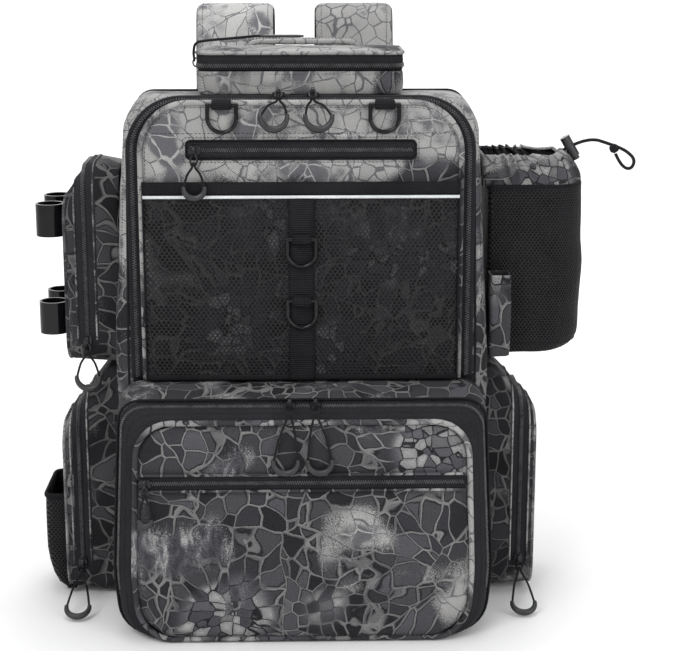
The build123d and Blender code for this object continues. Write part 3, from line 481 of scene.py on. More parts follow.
def rounded(corners, radii, edge_step=6.0, arc_points=7, counts=None):
    """Closed outline in mm with round corners. Gives the same number of points for the same counts."""
    total = len(corners)
    arcs = []
    for i in range(total):
        before, here, after = (Vector(corners[(i + k) % total]) for k in (-1, 0, 1))
        inward = (before - here).normalized()
        outward = (after - here).normalized()
        angle = inward.angle(outward)
        radius = max(radii[i], 0.2)
        reach = radius / math.tan(angle / 2)
        start = here + inward * reach
        end = here + outward * reach
        centre = here + (inward + outward).normalized() * (radius / math.sin(angle / 2))
        first = start - centre
        second = end - centre
        sweep = first.angle_signed(second)
        arc = []
        for k in range(arc_points + 1):
            turn = -sweep * k / arc_points
            c, s = math.cos(turn), math.sin(turn)
            arc.append(centre + Vector((first.x * c - first.y * s, first.x * s + first.y * c)))
        arcs.append(arc)
    points = []
    used = []
    for i in range(total):
        points.extend(arcs[i])
        start, end = arcs[i][-1], arcs[(i + 1) % total][0]
        count = counts[i] if counts else max(1, round((end - start).length / edge_step))
        used.append(count)
        for k in range(1, count):
            points.append(start.lerp(end, k / count))
    return points, used


def at_depth(points, y):
    """(x, z) points in mm to 3D points in metres at depth y."""
    return [Vector((p[0], y, p[1])) * MM for p in points]


def skin(name, rings, materials, closed=True, first_cap=False, last_cap=False, ring_material=None):
    """Quads between rings of equal length. ring_material gives the material index of each band."""
    vertices = [point for ring in rings for point in ring]
    size = len(rings[0])
    faces = []
    indices = []
    span = size if closed else size - 1
    for r in range(len(rings) - 1):
        for k in range(span):
            a = r * size + k
            b = r * size + (k + 1) % size
            faces.append((a, b, b + size, a + size))
            indices.append(ring_material(r, k) if ring_material else 0)
    if first_cap:
        faces.append(tuple(reversed(range(size))))
        indices.append(ring_material(0, 0) if ring_material else 0)
    if last_cap:
        start = (len(rings) - 1) * size
        faces.append(tuple(range(start, start + size)))
        indices.append(ring_material(len(rings) - 2, 0) if ring_material else 0)
    made = add_object(name, vertices, faces, materials, indices)
    outward_normals(made)
    return made


def outward_normals(obj):
    """Make the faces agree, and turn an open shell so that it faces away from its middle."""
    bm = bmesh.new()
    bm.from_mesh(obj.data)
    bmesh.ops.recalc_face_normals(bm, faces=bm.faces)
    middle = sum((vertex.co for vertex in bm.verts), Vector()) / len(bm.verts)
    facing = sum(face.normal.dot(face.calc_center_median() - middle) * face.calc_area() for face in bm.faces)
    if facing < 0:
        bmesh.ops.reverse_faces(bm, faces=bm.faces)
    bm.to_mesh(obj.data)
    bm.free()


def ruffle(obj, amount, size, seed=0.0, mask=None, stretch=(1, 1, 1)):
    """Push vertices along their normals by smooth noise: amount and size in mm."""
    mesh = obj.data
    moved = []
    for vertex in mesh.vertices:
        place = Vector(vertex.co[i] * stretch[i] for i in range(3)) / (size * MM)
        place += Vector((seed, seed * 1.7, seed * 0.6))
        value = noise.noise(place) + 0.5 * noise.noise(place * 2.1)
        keep = mask(vertex.co) if mask else 1.0
        moved.append(vertex.co + vertex.normal * (value * amount * MM * keep))
    for vertex, place in zip(mesh.vertices, moved):
        vertex.co = place
    mesh.update()


def frames_along(path, closed=False, normals=None):
    """Tangent and side vectors at each point of a path; normals point out of the surface it lies on."""
    count = len(path)
    out = []
    last = None
    for i, here in enumerate(path):
        before = path[(i - 1) % count] if closed or i > 0 else here
        after = path[(i + 1) % count] if closed or i < count - 1 else here
        tangent = (after - before).normalized()
        if normals:
            normal = normals[i] if isinstance(normals, list) else normals
        elif last is None:
            normal = tangent.orthogonal()
        else:
            normal = last
        normal = (normal - tangent * normal.dot(tangent)).normalized()
        last = normal
        out.append((tangent, normal, tangent.cross(normal)))
    return out


def sweep(name, path, section, materials, closed=False, normals=None, cap=True, scales=None):
    """Sweep a closed section of (side, normal) pairs in mm along a path in metres."""
    rings = []
    for i, (point, (_, normal, side)) in enumerate(zip(path, frames_along(path, closed, normals))):
        scale = scales[i] if scales else 1.0
        rings.append([point + (side * s[0] + normal * s[1]) * MM * scale for s in section])
    if closed:
        rings.append(rings[0])
        made = skin(name, rings, materials)
        bm = bmesh.new()
        bm.from_mesh(made.data)
        bmesh.ops.remove_doubles(bm, verts=bm.verts, dist=1e-6)
        bm.to_mesh(made.data)
        bm.free()
        return made
    return skin(name, rings, materials, first_cap=cap, last_cap=cap)


def round_section(radius, count=10, flat=1.0):
    return [(radius * math.cos(2 * math.pi * k / count), radius * flat * math.sin(2 * math.pi * k / count))
            for k in range(count)]


def flat_section(width, thickness, crown=0.0, count=5):
    """Flat strip with rounded edges, crowned a little in the middle."""
    half = width / 2
    top = [(-half + width * k / (count - 1), thickness + crown * math.sin(math.pi * k / (count - 1)))
           for k in range(count)]
    top[0] = (-half, thickness * 0.5)
    top[-1] = (half, thickness * 0.5)
    return top + [(half * 0.96, 0.0), (-half * 0.96, 0.0)]


def running_lengths(points):
    """Distance from the first point to each point, measured along the path."""
    lengths = [0.0]
    for a, b in zip(points, points[1:]):
        lengths.append(lengths[-1] + (b - a).length)
    return lengths


def resample(path, step, closed=False):
    """Points every step mm along a path in metres, with the direction at each."""
    points = list(path) + ([path[0]] if closed else [])
    lengths = running_lengths(points)
    total = lengths[-1]
    count = max(2, int(total / (step * MM)))
    out = []
    place = 0
    for k in range(count if closed else count + 1):
        want = total * k / count
        while place < len(lengths) - 2 and lengths[place + 1] < want:
            place += 1
        a, b = points[place], points[place + 1]
        share = (want - lengths[place]) / max(1e-9, lengths[place + 1] - lengths[place])
        out.append((a.lerp(b, share), (b - a).normalized(), place, share))
    return out


def normals_at(samples, normals, count):
    """The normal at each sample; normals is one direction or one for each point of the path."""
    if not isinstance(normals, list):
        return [normals] * len(samples)
    return [normals[p % count].lerp(normals[(p + 1) % count], s).normalized() for _, _, p, s in samples]


def stitches(name, path, normals, material="thread", pitch=3.4, length=2.3, radius=0.28, closed=False,
             lift=0.1, seed=1):
    """A row of sewing stitches along a path, each a small rounded dash."""
    rng = random.Random(seed)
    samples = resample(path, pitch, closed)
    outs = normals_at(samples, normals, len(path))
    vertices, faces = [], []
    for (point, along, _, _), out in zip(samples, outs):
        side = along.cross(out).normalized()
        wobble = side * rng.uniform(-0.12, 0.12) * MM
        half = length / 2 * rng.uniform(0.9, 1.08)
        base = len(vertices)
        centre = point + out * (lift * MM) + wobble
        profile = [(-1.0, 0.15), (-0.55, 0.9), (0.0, 1.0), (0.55, 0.9), (1.0, 0.15)]
        for place, fat in profile:
            for k in range(5):
                angle = 2 * math.pi * k / 5
                offset = side * (math.cos(angle) * radius * fat) + out * (math.sin(angle) * radius * fat)
                vertices.append(centre + along * (place * half * MM) + offset * MM)
        for r in range(4):
            for k in range(5):
                a = base + r * 5 + k
                b = base + r * 5 + (k + 1) % 5
                faces.append((a, b, b + 5, a + 5))
        faces.append(tuple(base + k for k in (4, 3, 2, 1, 0)))
        faces.append(tuple(base + 20 + k for k in range(5)))
    return add_object(name, vertices, faces, material)


TOOTH_OUTLINE = ((-1.0, 0.15), (-0.7, 0.75), (0.4, 0.95), (0.9, 0.35))    # reach across the coil and height
TOOTH_ROW = 0.74       # distance of each row of teeth from the zip's line
TOOTH_HALF = 0.52      # half a tooth's width at its foot


def zip_teeth(name, path, normals, pitch=1.9):
    """Coil of a closed zip: two rows of small rounded bars either side of the path."""
    samples = resample(path, pitch)
    outs = normals_at(samples, normals, len(path))
    vertices, faces = [], []
    for (point, along, _, _), out in zip(samples, outs):
        side = along.cross(out).normalized()
        for row in (-1, 1):
            centre = point + side * (row * TOOTH_ROW * MM) + along * (row * 0.25 * pitch * MM)
            base = len(vertices)
            for reach, high in TOOTH_OUTLINE:
                foot = centre - side * (row * reach * MM)
                for half in (-TOOTH_HALF, TOOTH_HALF):
                    vertices.append(foot + out * (high * MM) + along * (half * 0.62 * MM))
                    vertices.append(foot + along * (half * MM))
            for r in range(3):
                a = base + r * 4
                b = a + 4
                faces.extend([(a, a + 2, b + 2, b), (a + 1, a, b, b + 1), (a + 2, a + 3, b + 3, b + 2)])
            faces.append((base, base + 1, base + 3, base + 2))
            faces.append((base + 12, base + 14, base + 15, base + 13))
    return add_object(name, vertices, faces, "teeth")


def mm_box(node):
    """Lowest and highest corner of a CAD node, in mm."""
    low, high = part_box(node)
    return Vector(low) / MM, Vector(high) / MM


def lining(obj, thickness=2.0, inner=None):
    """Give a shell real thickness, inwards, with its own inner material."""
    made = obj.modifiers.new("thickness", "SOLIDIFY")
    made.thickness = thickness * MM
    made.offset = -1.0
    if inner:
        obj.data.materials.append(MAT[inner])
        made.material_offset = len(obj.data.materials) - 1
        made.material_offset_rim = 0
    return obj


def tube(name, path, radius, material, closed=False, scales=None, count=10, flat=1.0, normals=None):
    """Round piping or cord along a path in metres; flat above 1 makes it thicker along its normals."""
    return sweep(name, path, round_section(radius, count, flat), material, closed=closed, scales=scales,
                 normals=normals)


def curve_through(points, steps=8, closed=False):
    """Catmull-Rom curve through points given in mm, returned in metres."""
    places = [Vector(p) for p in points]
    count = len(places)
    out = []
    for i in range(count if closed else count - 1):
        p0 = places[(i - 1) % count] if closed or i > 0 else places[i]
        p1 = places[i]
        p2 = places[(i + 1) % count]
        p3 = places[(i + 2) % count] if closed or i < count - 2 else p2
        for k in range(steps):
            t = k / steps
            out.append(0.5 * (2 * p1 + (p2 - p0) * t + (2 * p0 - 5 * p1 + 4 * p2 - p3) * t * t
                              + (3 * p1 - p0 - 3 * p2 + p3) * t ** 3) * MM)
    if not closed:
        out.append(places[-1] * MM)
    return out


def turned_path(points, radii, step=5.0):
    """Straight runs with round turns between them, in metres, evenly divided."""
    places = [Vector(p) for p in points]
    dense = [places[0]]
    for before, here, after, radius in zip(places, places[1:], places[2:], radii):
        inward = (before - here).normalized()
        outward = (after - here).normalized()
        angle = inward.angle(outward)
        reach = min(radius / math.tan(angle / 2), 0.49 * (before - here).length, 0.49 * (after - here).length)
        start, end = here + inward * reach, here + outward * reach
        for k in range(9):
            t = k / 8
            dense.append(start * (1 - t) ** 2 + here * 2 * t * (1 - t) + end * t * t)
    dense.append(places[-1])
    metres = [p * MM for p in dense]
    samples = resample(metres, step)
    return [sample[0] for sample in samples]


# ================================================================ outlines of the bag

# From the front: half widths at the ground, the middle and the top, height of the middle and of the top,
# and corner radii at the ground, the middle and the top.
BACK_OUTLINE = (156, 163, 151, 240, 458, 24, 900, 16)
SHOULDER_OUTLINE = (158, 166, 152, 240, 463, 28, 900, 30)
FRONT_OUTLINE = (150, 152, 147, 240, 464, 34, 900, 46)
POCKET_REAR = (162, 169, 158, 60, 217, 30, 200, 18)
POCKET_EDGE = (158, 164, 156, 60, 212, 30, 200, 18)
COVER_RIM = (141, 145, 140, 60, 196, 36, 193, 30)
PANEL_SEAM_Z = 139.0   # the seam with the zip across the lower panel
COVER_EDGE = (157, 163, 155, 60, 211.5, 30, 200, 18)
OUTLINE_COUNTS = [44, 8, 34, 44, 34, 8]    # points on each side of every outline, so that rings can be joined


def between(first, second, share):
    return tuple(a + (b - a) * share for a, b in zip(first, second))


def bag_ring(spec, y, inset=0.0):
    """Closed ring of points on the bag's outline at depth y, from its lower left round by the right."""
    low, mid, top_half, z_mid, top, r_low, r_mid, r_top = spec
    corners = [(-low + inset, inset), (low - inset, inset), (mid - inset, z_mid),
               (top_half - inset, top - inset), (-top_half + inset, top - inset), (-mid + inset, z_mid)]
    low_r, top_r = max(2, r_low - inset), max(2, r_top - inset)
    points, _ = rounded(corners, [low_r, low_r, r_mid, top_r, top_r, r_mid], counts=OUTLINE_COUNTS)
    return at_depth(points, y)


def above_floor(rings, lowest):
    """Lift every point to at least the given height in metres."""
    for ring in rings:
        for point in ring:
            point.z = max(point.z, lowest)


def open_part(ring, normals, wanted):
    """The run of a closed ring whose points are wanted, as an open path with its normals."""
    count = len(ring)
    start = next(i for i in range(count) if wanted(ring[i]) and not wanted(ring[i - 1]))
    path, outs = [], []
    for k in range(count):
        i = (start + k) % count
        if not wanted(ring[i]):
            break
        path.append(ring[i])
        outs.append(normals[i])
    return path, outs


def outward(ring, closed=True):
    """Unit normals in the ring's own plane, away from its middle."""
    middle = sum(ring, Vector()) / len(ring)
    out = []
    for tangent, _, _ in frames_along(ring, closed, FRONT):
        normal = tangent.cross(FRONT)
        out.append(normal.normalized())
    flip = sum((point - middle).dot(normal) for point, normal in zip(ring, out)) < 0
    return [-normal for normal in out] if flip else out


def arch(half, top, corner, low, y, step=6.0):
    """Open path up the left side, over the top and down the right, in metres at depth y."""
    points = [(-half, low)]
    rise = top - corner
    count = round((rise - low) / step)
    points += [(-half, low + (rise - low) * k / count) for k in range(1, count)]
    arc = 12
    for k in range(arc + 1):
        turn = math.pi - math.pi / 2 * k / arc
        points.append((-half + corner + corner * math.cos(turn), rise + corner * math.sin(turn)))
    flat = half - corner
    across = round(2 * flat / step)
    points += [(-flat + 2 * flat * k / across, top) for k in range(1, across)]
    mirrored = [(-x, z) for x, z in reversed(points[:count + arc + 1])]
    return at_depth(points + mirrored, y)


def panel(name, z_low, z_high, half_at, place, materials, step=5.0, even_rows=False):
    """Grid panel from z_low to z_high, half_at(z) wide, each point put in space by place(x, z). Rows lie
    closer together near the top and the foot unless even_rows is set."""
    rows = round((z_high - z_low) / step)
    columns = round(2 * half_at((z_low + z_high) / 2) / step)
    vertices = []
    for r in range(rows + 1):
        share = r / rows if even_rows else 0.5 - 0.5 * math.cos(math.pi * r / rows)
        z = z_low + (z_high - z_low) * share
        half = half_at(z)
        for c in range(columns + 1):
            vertices.append(place(half * (2 * c / columns - 1), z) * MM)
    return add_object(name, vertices, grid_faces(rows, columns), materials)


def grid_faces(rows, columns):
    """Faces of a grid whose points are numbered row by row."""
    faces = []
    for r in range(rows):
        for c in range(columns):
            a = r * (columns + 1) + c
            faces.append((a, a + 1, a + columns + 2, a + columns + 1))
    return faces


def corner_half(z, half, z_low, z_high, r_low, r_high):
    """Half width at height z of a rounded rectangle."""
    if z > z_high - r_high:
        rise = min(r_high, z - (z_high - r_high))
        return half - r_high + math.sqrt(max(0.0, r_high ** 2 - rise ** 2))
    if z < z_low + r_low:
        drop = min(r_low, (z_low + r_low) - z)
        return half - r_low + math.sqrt(max(0.0, r_low ** 2 - drop ** 2))
    return half


# ================================================================ cord

# The drawcord in metres: out of the cord lock, to the knot, round the loop and back to the knot.
CORD_POINTS = [
    (0.2380, 0.0270, 0.4085),
    (0.2590, 0.0250, 0.4210),
    (0.2830, 0.0230, 0.4135),
    (0.2950, 0.0210, 0.4085),
    (0.3030, 0.0190, 0.4005),
    (0.2990, 0.0180, 0.3915),
    (0.2900, 0.0190, 0.3950),
    (0.2850, 0.0215, 0.4060),
]
CORD_R = 0.0015
KNOT_SHARE = 0.4       # where the knot sits between the cord's way out and its end
KNOT_R = 0.0030


def make_cord():
    """Drawcord of the bottle pocket's collar, with its knot."""
    data = bpy.data.curves.new("collar_drawcord", "CURVE")
    data.dimensions = "3D"
    data.resolution_u = 16
    data.bevel_depth = CORD_R
    data.bevel_resolution = 4
    data.use_fill_caps = True
    spline = data.splines.new("NURBS")
    spline.points.add(len(CORD_POINTS) - 1)
    for point, place in zip(spline.points, CORD_POINTS):
        point.co = (*place, 1.0)
    spline.order_u = 3             # follows its points closely, as the frame's own cord does
    spline.use_endpoint_u = True
    data.materials.append(MAT["cord"])
    cord = bpy.data.objects.new("collar_drawcord", data)
    bpy.context.scene.collection.objects.link(cord)
    settle(cord, "pack", "drawcord", slot="cord")

    centre = Vector(CORD_POINTS[2]).lerp(Vector(CORD_POINTS[-1]), KNOT_SHARE)
    wraps = []
    for k in range(3):
        loop = []
        tilt = Matrix.Rotation(0.9 * k, 3, "Z") @ Matrix.Rotation(0.7 + 0.8 * k, 3, "X")
        for turn in range(20):
            angle = 2 * math.pi * turn / 20
            loop.append(centre + tilt @ Vector((math.cos(angle), math.sin(angle), 0)) * KNOT_R)
        wraps.append(tube("knot_wrap_%d" % k, loop, 1.5, "cord", closed=True))
    for wrap in wraps:
        settle(wrap, "pack", "drawcord", slot="cord")


make_cord()


# ================================================================ main compartment

def make_main_gusset():
    """Camouflage gusset round the main compartment, with its rim and stitching."""
    back_y, front_y, shoulder_y = 79.5, -54.0, -38.0
    rings = [bag_ring(BACK_OUTLINE, back_y + 0.9, 10), bag_ring(BACK_OUTLINE, back_y + 0.9, 1.5)]
    ys = [back_y, 78.0, 74.0] + [74.0 - 7.0 * k for k in range(1, 16)]
    for y in ys + [shoulder_y]:
        share = min(1.0, (76.0 - min(y, 76.0)) / (76.0 - shoulder_y))
        swell = 1.6 * math.sin(math.pi * share)
        rings.append(bag_ring(between(BACK_OUTLINE, SHOULDER_OUTLINE, share), y,
                              -swell if y < 76 else (y - 76) * 0.3))
    for angle in (20, 40, 60, 78, 90):
        a = math.radians(angle)
        spec = between(SHOULDER_OUTLINE, FRONT_OUTLINE, 1 - math.cos(a))
        rings.append(bag_ring(spec, shoulder_y + (front_y - shoulder_y) * math.sin(a)))
    rings.append(bag_ring(FRONT_OUTLINE, front_y - 0.2, 3.5))
    above_floor(rings, 0.0006)
    shell = skin("main_gusset_cloth", rings, "camo")

    def loose(place):
        near_front = min(1.0, max(0.0, (place.y - front_y * MM) / 0.015))
        near_back = min(1.0, max(0.0, (back_y * MM - place.y) / 0.02))
        return near_front * near_back * min(1.0, place.z / 0.04)

    ruffle(shell, 1.5, 42.0, 3.0, loose, (1.0, 0.6, 1.0))
    settle(lining(shell, 2.4, "lining"), "pack", "main_gusset", slot="camo_fabric")
    rim = [bag_ring(FRONT_OUTLINE, front_y - 0.2, 3.0), bag_ring(FRONT_OUTLINE, front_y + 0.4, 14)]
    settle(lining(skin("main_gusset_rim", rim, "binding"), 1.2), "pack", "main_gusset", slot="black_fabric")

    for k, (y, inset) in enumerate(((front_y + 0.6, -0.9), (76.0, -0.8))):
        spec = FRONT_OUTLINE if k == 0 else BACK_OUTLINE
        ring = bag_ring(spec, y, inset)
        piping = tube("gusset_seam_%d" % k, [p for p in ring if p.z > 0.004], 1.3, "binding", count=8)
        settle(piping, "pack", "main_gusset", slot="black_fabric")
    ring = bag_ring(between(SHOULDER_OUTLINE, FRONT_OUTLINE, 0.45), -51.2, -0.6)
    seam_foot = 0.225
    # from the right foot of the seam over the top to the left one
    kept = sorted([p for p in ring if p.z > seam_foot],
                  key=lambda p: math.atan2(seam_foot - p.z, -p.x) % (2 * math.pi))
    seam = stitches("gusset_stitching", kept, [Vector((0, -0.7, 0.7))] * len(kept), "thread", 3.6, 2.4, 0.26)
    settle(seam, "pack", "main_gusset", slot="camo_fabric")


def make_back():
    """Back panel with its pads."""
    low, high = mm_box("back_panel")

    def half_at(z):
        share = (z - low.z) / (high.z - low.z)
        base = 155.0 + 7.0 * math.sin(math.pi * min(1.0, share * 0.95))
        return corner_half(z, base - 5 * share, low.z, high.z, 24, 16) - 1.5

    def place(x, z):
        return Vector((x, high.y - 0.5, z))

    back = panel("back_panel_cloth", low.z + 1, high.z - 1, half_at, place, "binding")
    ruffle(back, 0.35, 30.0, 9.0)
    settle(lining(back, 2.2), "pack", "back_panel", slot="black_fabric")

    low, high = mm_box("back_pads")
    pads = ((-135, -12, 150, 385), (12, 135, 150, 385), (-135, 135, 62, 138))
    for k, (x0, x1, z0, z1) in enumerate(pads):
        pad = cushion("back_pad_%d" % k, x0, x1, low.y, high.y, z0, z1, 22)
        settle(pad, "pack", "back_pads", slot="black_mesh")
        ring, _ = rounded([(x0, z0), (x1, z0), (x1, z1), (x0, z1)], [22] * 4, 6.0)
        edge = tube("back_pad_binding_%d" % k, at_depth(ring, low.y + 1.6), 1.8, "binding", closed=True,
                    count=8)
        settle(edge, "pack", "back_pads", slot="black_fabric")


def cushion(name, x0, x1, y_back, y_front, z0, z1, corner):
    """Padded mesh pad on the bag's back, swollen by simulation between its sewn edges."""
    inset = 2.0
    rings = []
    middle_y = (y_back + y_front) / 2
    for y, extra in ((y_back + 0.4, 1.0), (middle_y - 1.0, 0.0), (middle_y + 1.5, 0.6), (y_front - 2.0, 4.0)):
        points, _ = rounded([(x0 + inset + extra, z0 + inset + extra),
                             (x1 - inset - extra, z0 + inset + extra),
                             (x1 - inset - extra, z1 - inset - extra),
                             (x0 + inset + extra, z1 - inset - extra)],
                            [corner - inset - extra] * 4, counts=[20, 20, 20, 20])
        rings.append(at_depth(points, y))
    pad = skin(name, rings, "air_mesh", first_cap=True, last_cap=True)
    remesh(pad, 5.0)
    inflate(pad, 3.0)
    for row in range(1, 4):
        z_line = z0 + (z1 - z0) * row / 4
        if z1 - z0 < 120 and row != 2:
            continue
        for vertex in pad.data.vertices:
            gap = abs(vertex.co.z / MM - z_line)
            if gap < 9 and vertex.co.y / MM > middle_y:
                vertex.co.y -= 3.2 * MM * (0.5 + 0.5 * math.cos(math.pi * gap / 9))
    limit = (y_front + 6) * MM
    for vertex in pad.data.vertices:
        vertex.co.y = min(max(vertex.co.y, (y_back + 0.2) * MM), limit)
    smooth = pad.modifiers.new("smooth", "SUBSURF")
    smooth.levels = smooth.render_levels = 1
    return pad


def remesh(obj, size):
    made = obj.modifiers.new("remesh", "REMESH")
    made.mode = "VOXEL"
    made.voxel_size = size * MM
    apply_modifiers(obj)
    obj.data.polygons.foreach_set("use_smooth", [True] * len(obj.data.polygons))


def apply_modifiers(obj):
    """Make the modifiers' result the object's own mesh."""
    evaluated = obj.evaluated_get(bpy.context.evaluated_depsgraph_get())
    fresh = bpy.data.meshes.new_from_object(evaluated)
    obj.modifiers.clear()
    old = obj.data
    obj.data = fresh
    bpy.data.meshes.remove(old)


def inflate(obj, cap, pressure=4.0, frames=20):
    """Swell a closed mesh with a short cloth simulation; no point moves more than cap mm."""
    scene = bpy.context.scene
    start = [vertex.co.copy() for vertex in obj.data.vertices]
    cloth = obj.modifiers.new("cloth", "CLOTH")
    cloth.settings.quality = 5
    cloth.settings.use_pressure = True
    cloth.settings.uniform_pressure_force = pressure
    cloth.settings.effector_weights.gravity = 0.0
    cloth.point_cache.frame_start = 1
    cloth.point_cache.frame_end = frames
    for number in range(1, frames + 1):
        scene.frame_set(number)
    apply_modifiers(obj)
    for vertex, before in zip(obj.data.vertices, start):
        moved = vertex.co - before
        if moved.length > cap * MM:
            vertex.co = before + moved.normalized() * (cap * MM)
    scene.frame_set(1)


def make_main_zip():
    """Black tape arch between the gusset and the flap, with its coil and stitching."""
    low = 219.5
    profile = [(150.6, 466.6, 48.6, -53.6), (149.6, 466.0, 48.0, -56.4), (147.2, 464.6, 46.0, -57.4),
               (144.2, 462.6, 44.0, -57.7), (141.0, 460.6, 42.0, -57.3), (136.0, 457.5, 40.0, -56.6)]
    base = arch(*profile[2][:3], low, profile[2][3])
    rings = []
    for half, top, corner, y in profile:
        ring = arch(half, top, corner, low, y)
        rings.append(even(ring, len(base)))
    tape = skin("main_zip_tape_cloth", rings, "tape", closed=False)
    settle(lining(tape, 0.9), "pack", "main_zip_tape", slot="zip_tape")
    coil = arch(144.6, 463.0, 44.0, low + 2, -57.9)
    settle(zip_teeth("main_zip_coil", coil, FRONT, pitch=2.2), "pack", "main_zip_tape", slot="zip_tape")
    edge = arch(148.6, 465.4, 47.0, low + 2, -57.1)
    settle(stitches("main_zip_stitching", edge, FRONT, "thread_black", 3.2, 2.2, 0.28), "pack",
           "main_zip_tape", slot="zip_tape")


def even(path, count):
    """The same path as count evenly spread points."""
    lengths = running_lengths(path)
    out = []
    place = 0
    for k in range(count):
        want = lengths[-1] * k / (count - 1)
        while place < len(path) - 2 and lengths[place + 1] < want:
            place += 1
        share = (want - lengths[place]) / max(1e-9, lengths[place + 1] - lengths[place])
        out.append(path[place].lerp(path[place + 1], min(1.0, share)))
    return out


# ================================================================ front flap

FLAP_LOW, FLAP_HIGH = mm_box("front_flap")
FLAP_CORNER = 42.0
MESH_LOW, MESH_HIGH = mm_box("flap_mesh_pocket")


def make_flap():
    """Cloth of the front flap and its stitching."""
    def half_at(z):
        return corner_half(z, FLAP_HIGH.x - 1.0, FLAP_LOW.z, FLAP_HIGH.z - 1.0, 2, FLAP_CORNER)

    def place(x, z):
        edge = min(half_at(z) - abs(x), FLAP_HIGH.z - 1.0 - z)
        return Vector((x, FLAP_LOW.y + 2.0 * max(0.0, 1 - edge / 7) ** 2, z))

    front = panel("flap_cloth", FLAP_LOW.z, FLAP_HIGH.z - 1.05, half_at, place, "camo")
    ruffle(front, 0.55, 38.0, 5.0, lambda p: 1.0 if p.z > 0.38 else 0.3)
    settle(lining(front, 2.6, "lining"), "flap", "front_flap", slot="camo_fabric")
    edge = arch(FLAP_HIGH.x - 0.6, FLAP_HIGH.z - 0.6, FLAP_CORNER, FLAP_LOW.z, FLAP_LOW.y + 0.9)
    settle(tube("flap_piping", edge, 2.5, "camo_pipe", count=12), "flap", "front_flap", slot="camo_fabric")
    inner = arch(FLAP_HIGH.x - 4.6, FLAP_HIGH.z - 4.6, FLAP_CORNER - 4, FLAP_LOW.z + 2, FLAP_LOW.y + 0.1)
    settle(stitches("flap_stitching", inner, FRONT, "thread", 3.6, 2.4, 0.26), "flap", "front_flap",
           slot="camo_fabric")


def straight(x0, x1, y, z):
    return [Vector((x0 + (x1 - x0) * k / 20, y, z)) * MM for k in range(21)]


def strip(name, x0, x1, y, z0, z1, material, crown=0.4, rows=6, edge_drop=0.5, columns=60):
    """Flat tape across the bag with turned edges."""
    def place(x, z):
        share = (z - z0) / (z1 - z0) * 2 - 1
        return Vector((x, y - crown * (1 - share * share) + edge_drop * abs(share) ** 6, z))
    vertices = []
    for r in range(rows + 1):
        for c in range(columns + 1):
            vertices.append(place(x0 + (x1 - x0) * c / columns, z0 + (z1 - z0) * r / rows) * MM)
    return lining(add_object(name, vertices, grid_faces(rows, columns), material), 0.8)


def make_flap_zip():
    """Small horizontal zip on the front flap."""
    low, high = mm_box("flap_pocket_zip")
    middle = (low.z + high.z) / 2
    tape = strip("flap_zip_tape", low.x + 1, high.x - 1, low.y + 0.4, low.z + 0.6, high.z - 0.6, "tape", 0.3)
    settle(tape, "flap", "flap_pocket_zip", slot="zip_tape")
    path = straight(low.x + 4, high.x - 4, low.y - 0.1, middle)
    settle(zip_teeth("flap_zip_coil", path, FRONT, pitch=1.9), "flap", "flap_pocket_zip", slot="zip_tape")
    ring, _ = rounded([(low.x, low.z), (high.x, low.z), (high.x, high.z), (low.x, high.z)], [4] * 4, 5.0)
    frame_path = at_depth(ring, low.y + 0.5)
    settle(tube("flap_zip_frame", frame_path, 0.8, "binding", closed=True, count=8), "flap",
           "flap_pocket_zip", slot="black_fabric")
    for k, (inset, y) in enumerate(((2.8, low.y - 0.1), (-2.6, FLAP_LOW.y - 0.3))):
        ring, _ = rounded([(low.x + inset, low.z + inset), (high.x - inset, low.z + inset),
                           (high.x - inset, high.z - inset), (low.x + inset, high.z - inset)], [3] * 4, 5.0)
        row = stitches("flap_zip_stitching_%d" % k, at_depth(ring, y), FRONT,
                       "thread" if k else "thread_black", 3.2, 2.2, 0.26, closed=True)
        settle(row, "flap", "flap_pocket_zip", slot="black_fabric")
    line = straight(-FLAP_HIGH.x + 12, FLAP_HIGH.x - 12, FLAP_LOW.y - 0.1, high.z + 6)
    settle(stitches("flap_upper_stitching", line, FRONT, "thread", 3.6, 2.4, 0.28), "flap", "front_flap",
           slot="camo_fabric")


def make_mesh_pocket():
    """Mesh pocket on the front flap, with its reflective line."""
    half = FLAP_HIGH.x - 2.6
    top = 380.5

    def place(x, z):
        share_x = 1 - (x / half) ** 2
        share_z = math.sin(math.pi * (z - MESH_LOW.z) / (top - MESH_LOW.z))
        return Vector((x, MESH_LOW.y + 1.0 - 1.9 * share_x ** 0.5 * max(0.0, share_z) ** 0.6, z))

    net = panel("flap_mesh", MESH_LOW.z, top, lambda z: half, place, "mesh_front")
    ruffle(net, 0.7, 55.0, 2.0, lambda p: 1.0 if abs(p.x) > 0.016 else 0.15, (1, 1, 0.6))
    settle(lining(net, 0.6), "flap", "flap_mesh_pocket", slot="black_mesh")
    for side in (-1, 1):
        path = [Vector((side * (half - 0.5), MESH_LOW.y + 2.2, z)) * MM for z in range(220, 395, 6)]
        wall = sweep("flap_mesh_wall_%d" % (side + 1), path, flat_section(5.2, 1.2, 0.3), "binding",
                     normals=Vector((side, 0, 0)))
        settle(wall, "flap", "flap_mesh_pocket", slot="black_fabric")
    foot = straight(-half, half, MESH_LOW.y + 0.9, MESH_LOW.z + 2.4)
    foot_edge = sweep("flap_mesh_foot", foot, flat_section(5.0, 1.0, 0.3), "binding", normals=FRONT)
    settle(foot_edge, "flap", "flap_mesh_pocket", slot="black_fabric")

    low, high = mm_box("reflective_piping")
    path = straight(-half, half, (low.y + high.y) / 2, (low.z + high.z) / 2)
    settle(tube("reflective_line", path, 1.4, "reflect", count=8), "flap", "reflective_piping",
           slot="reflective")


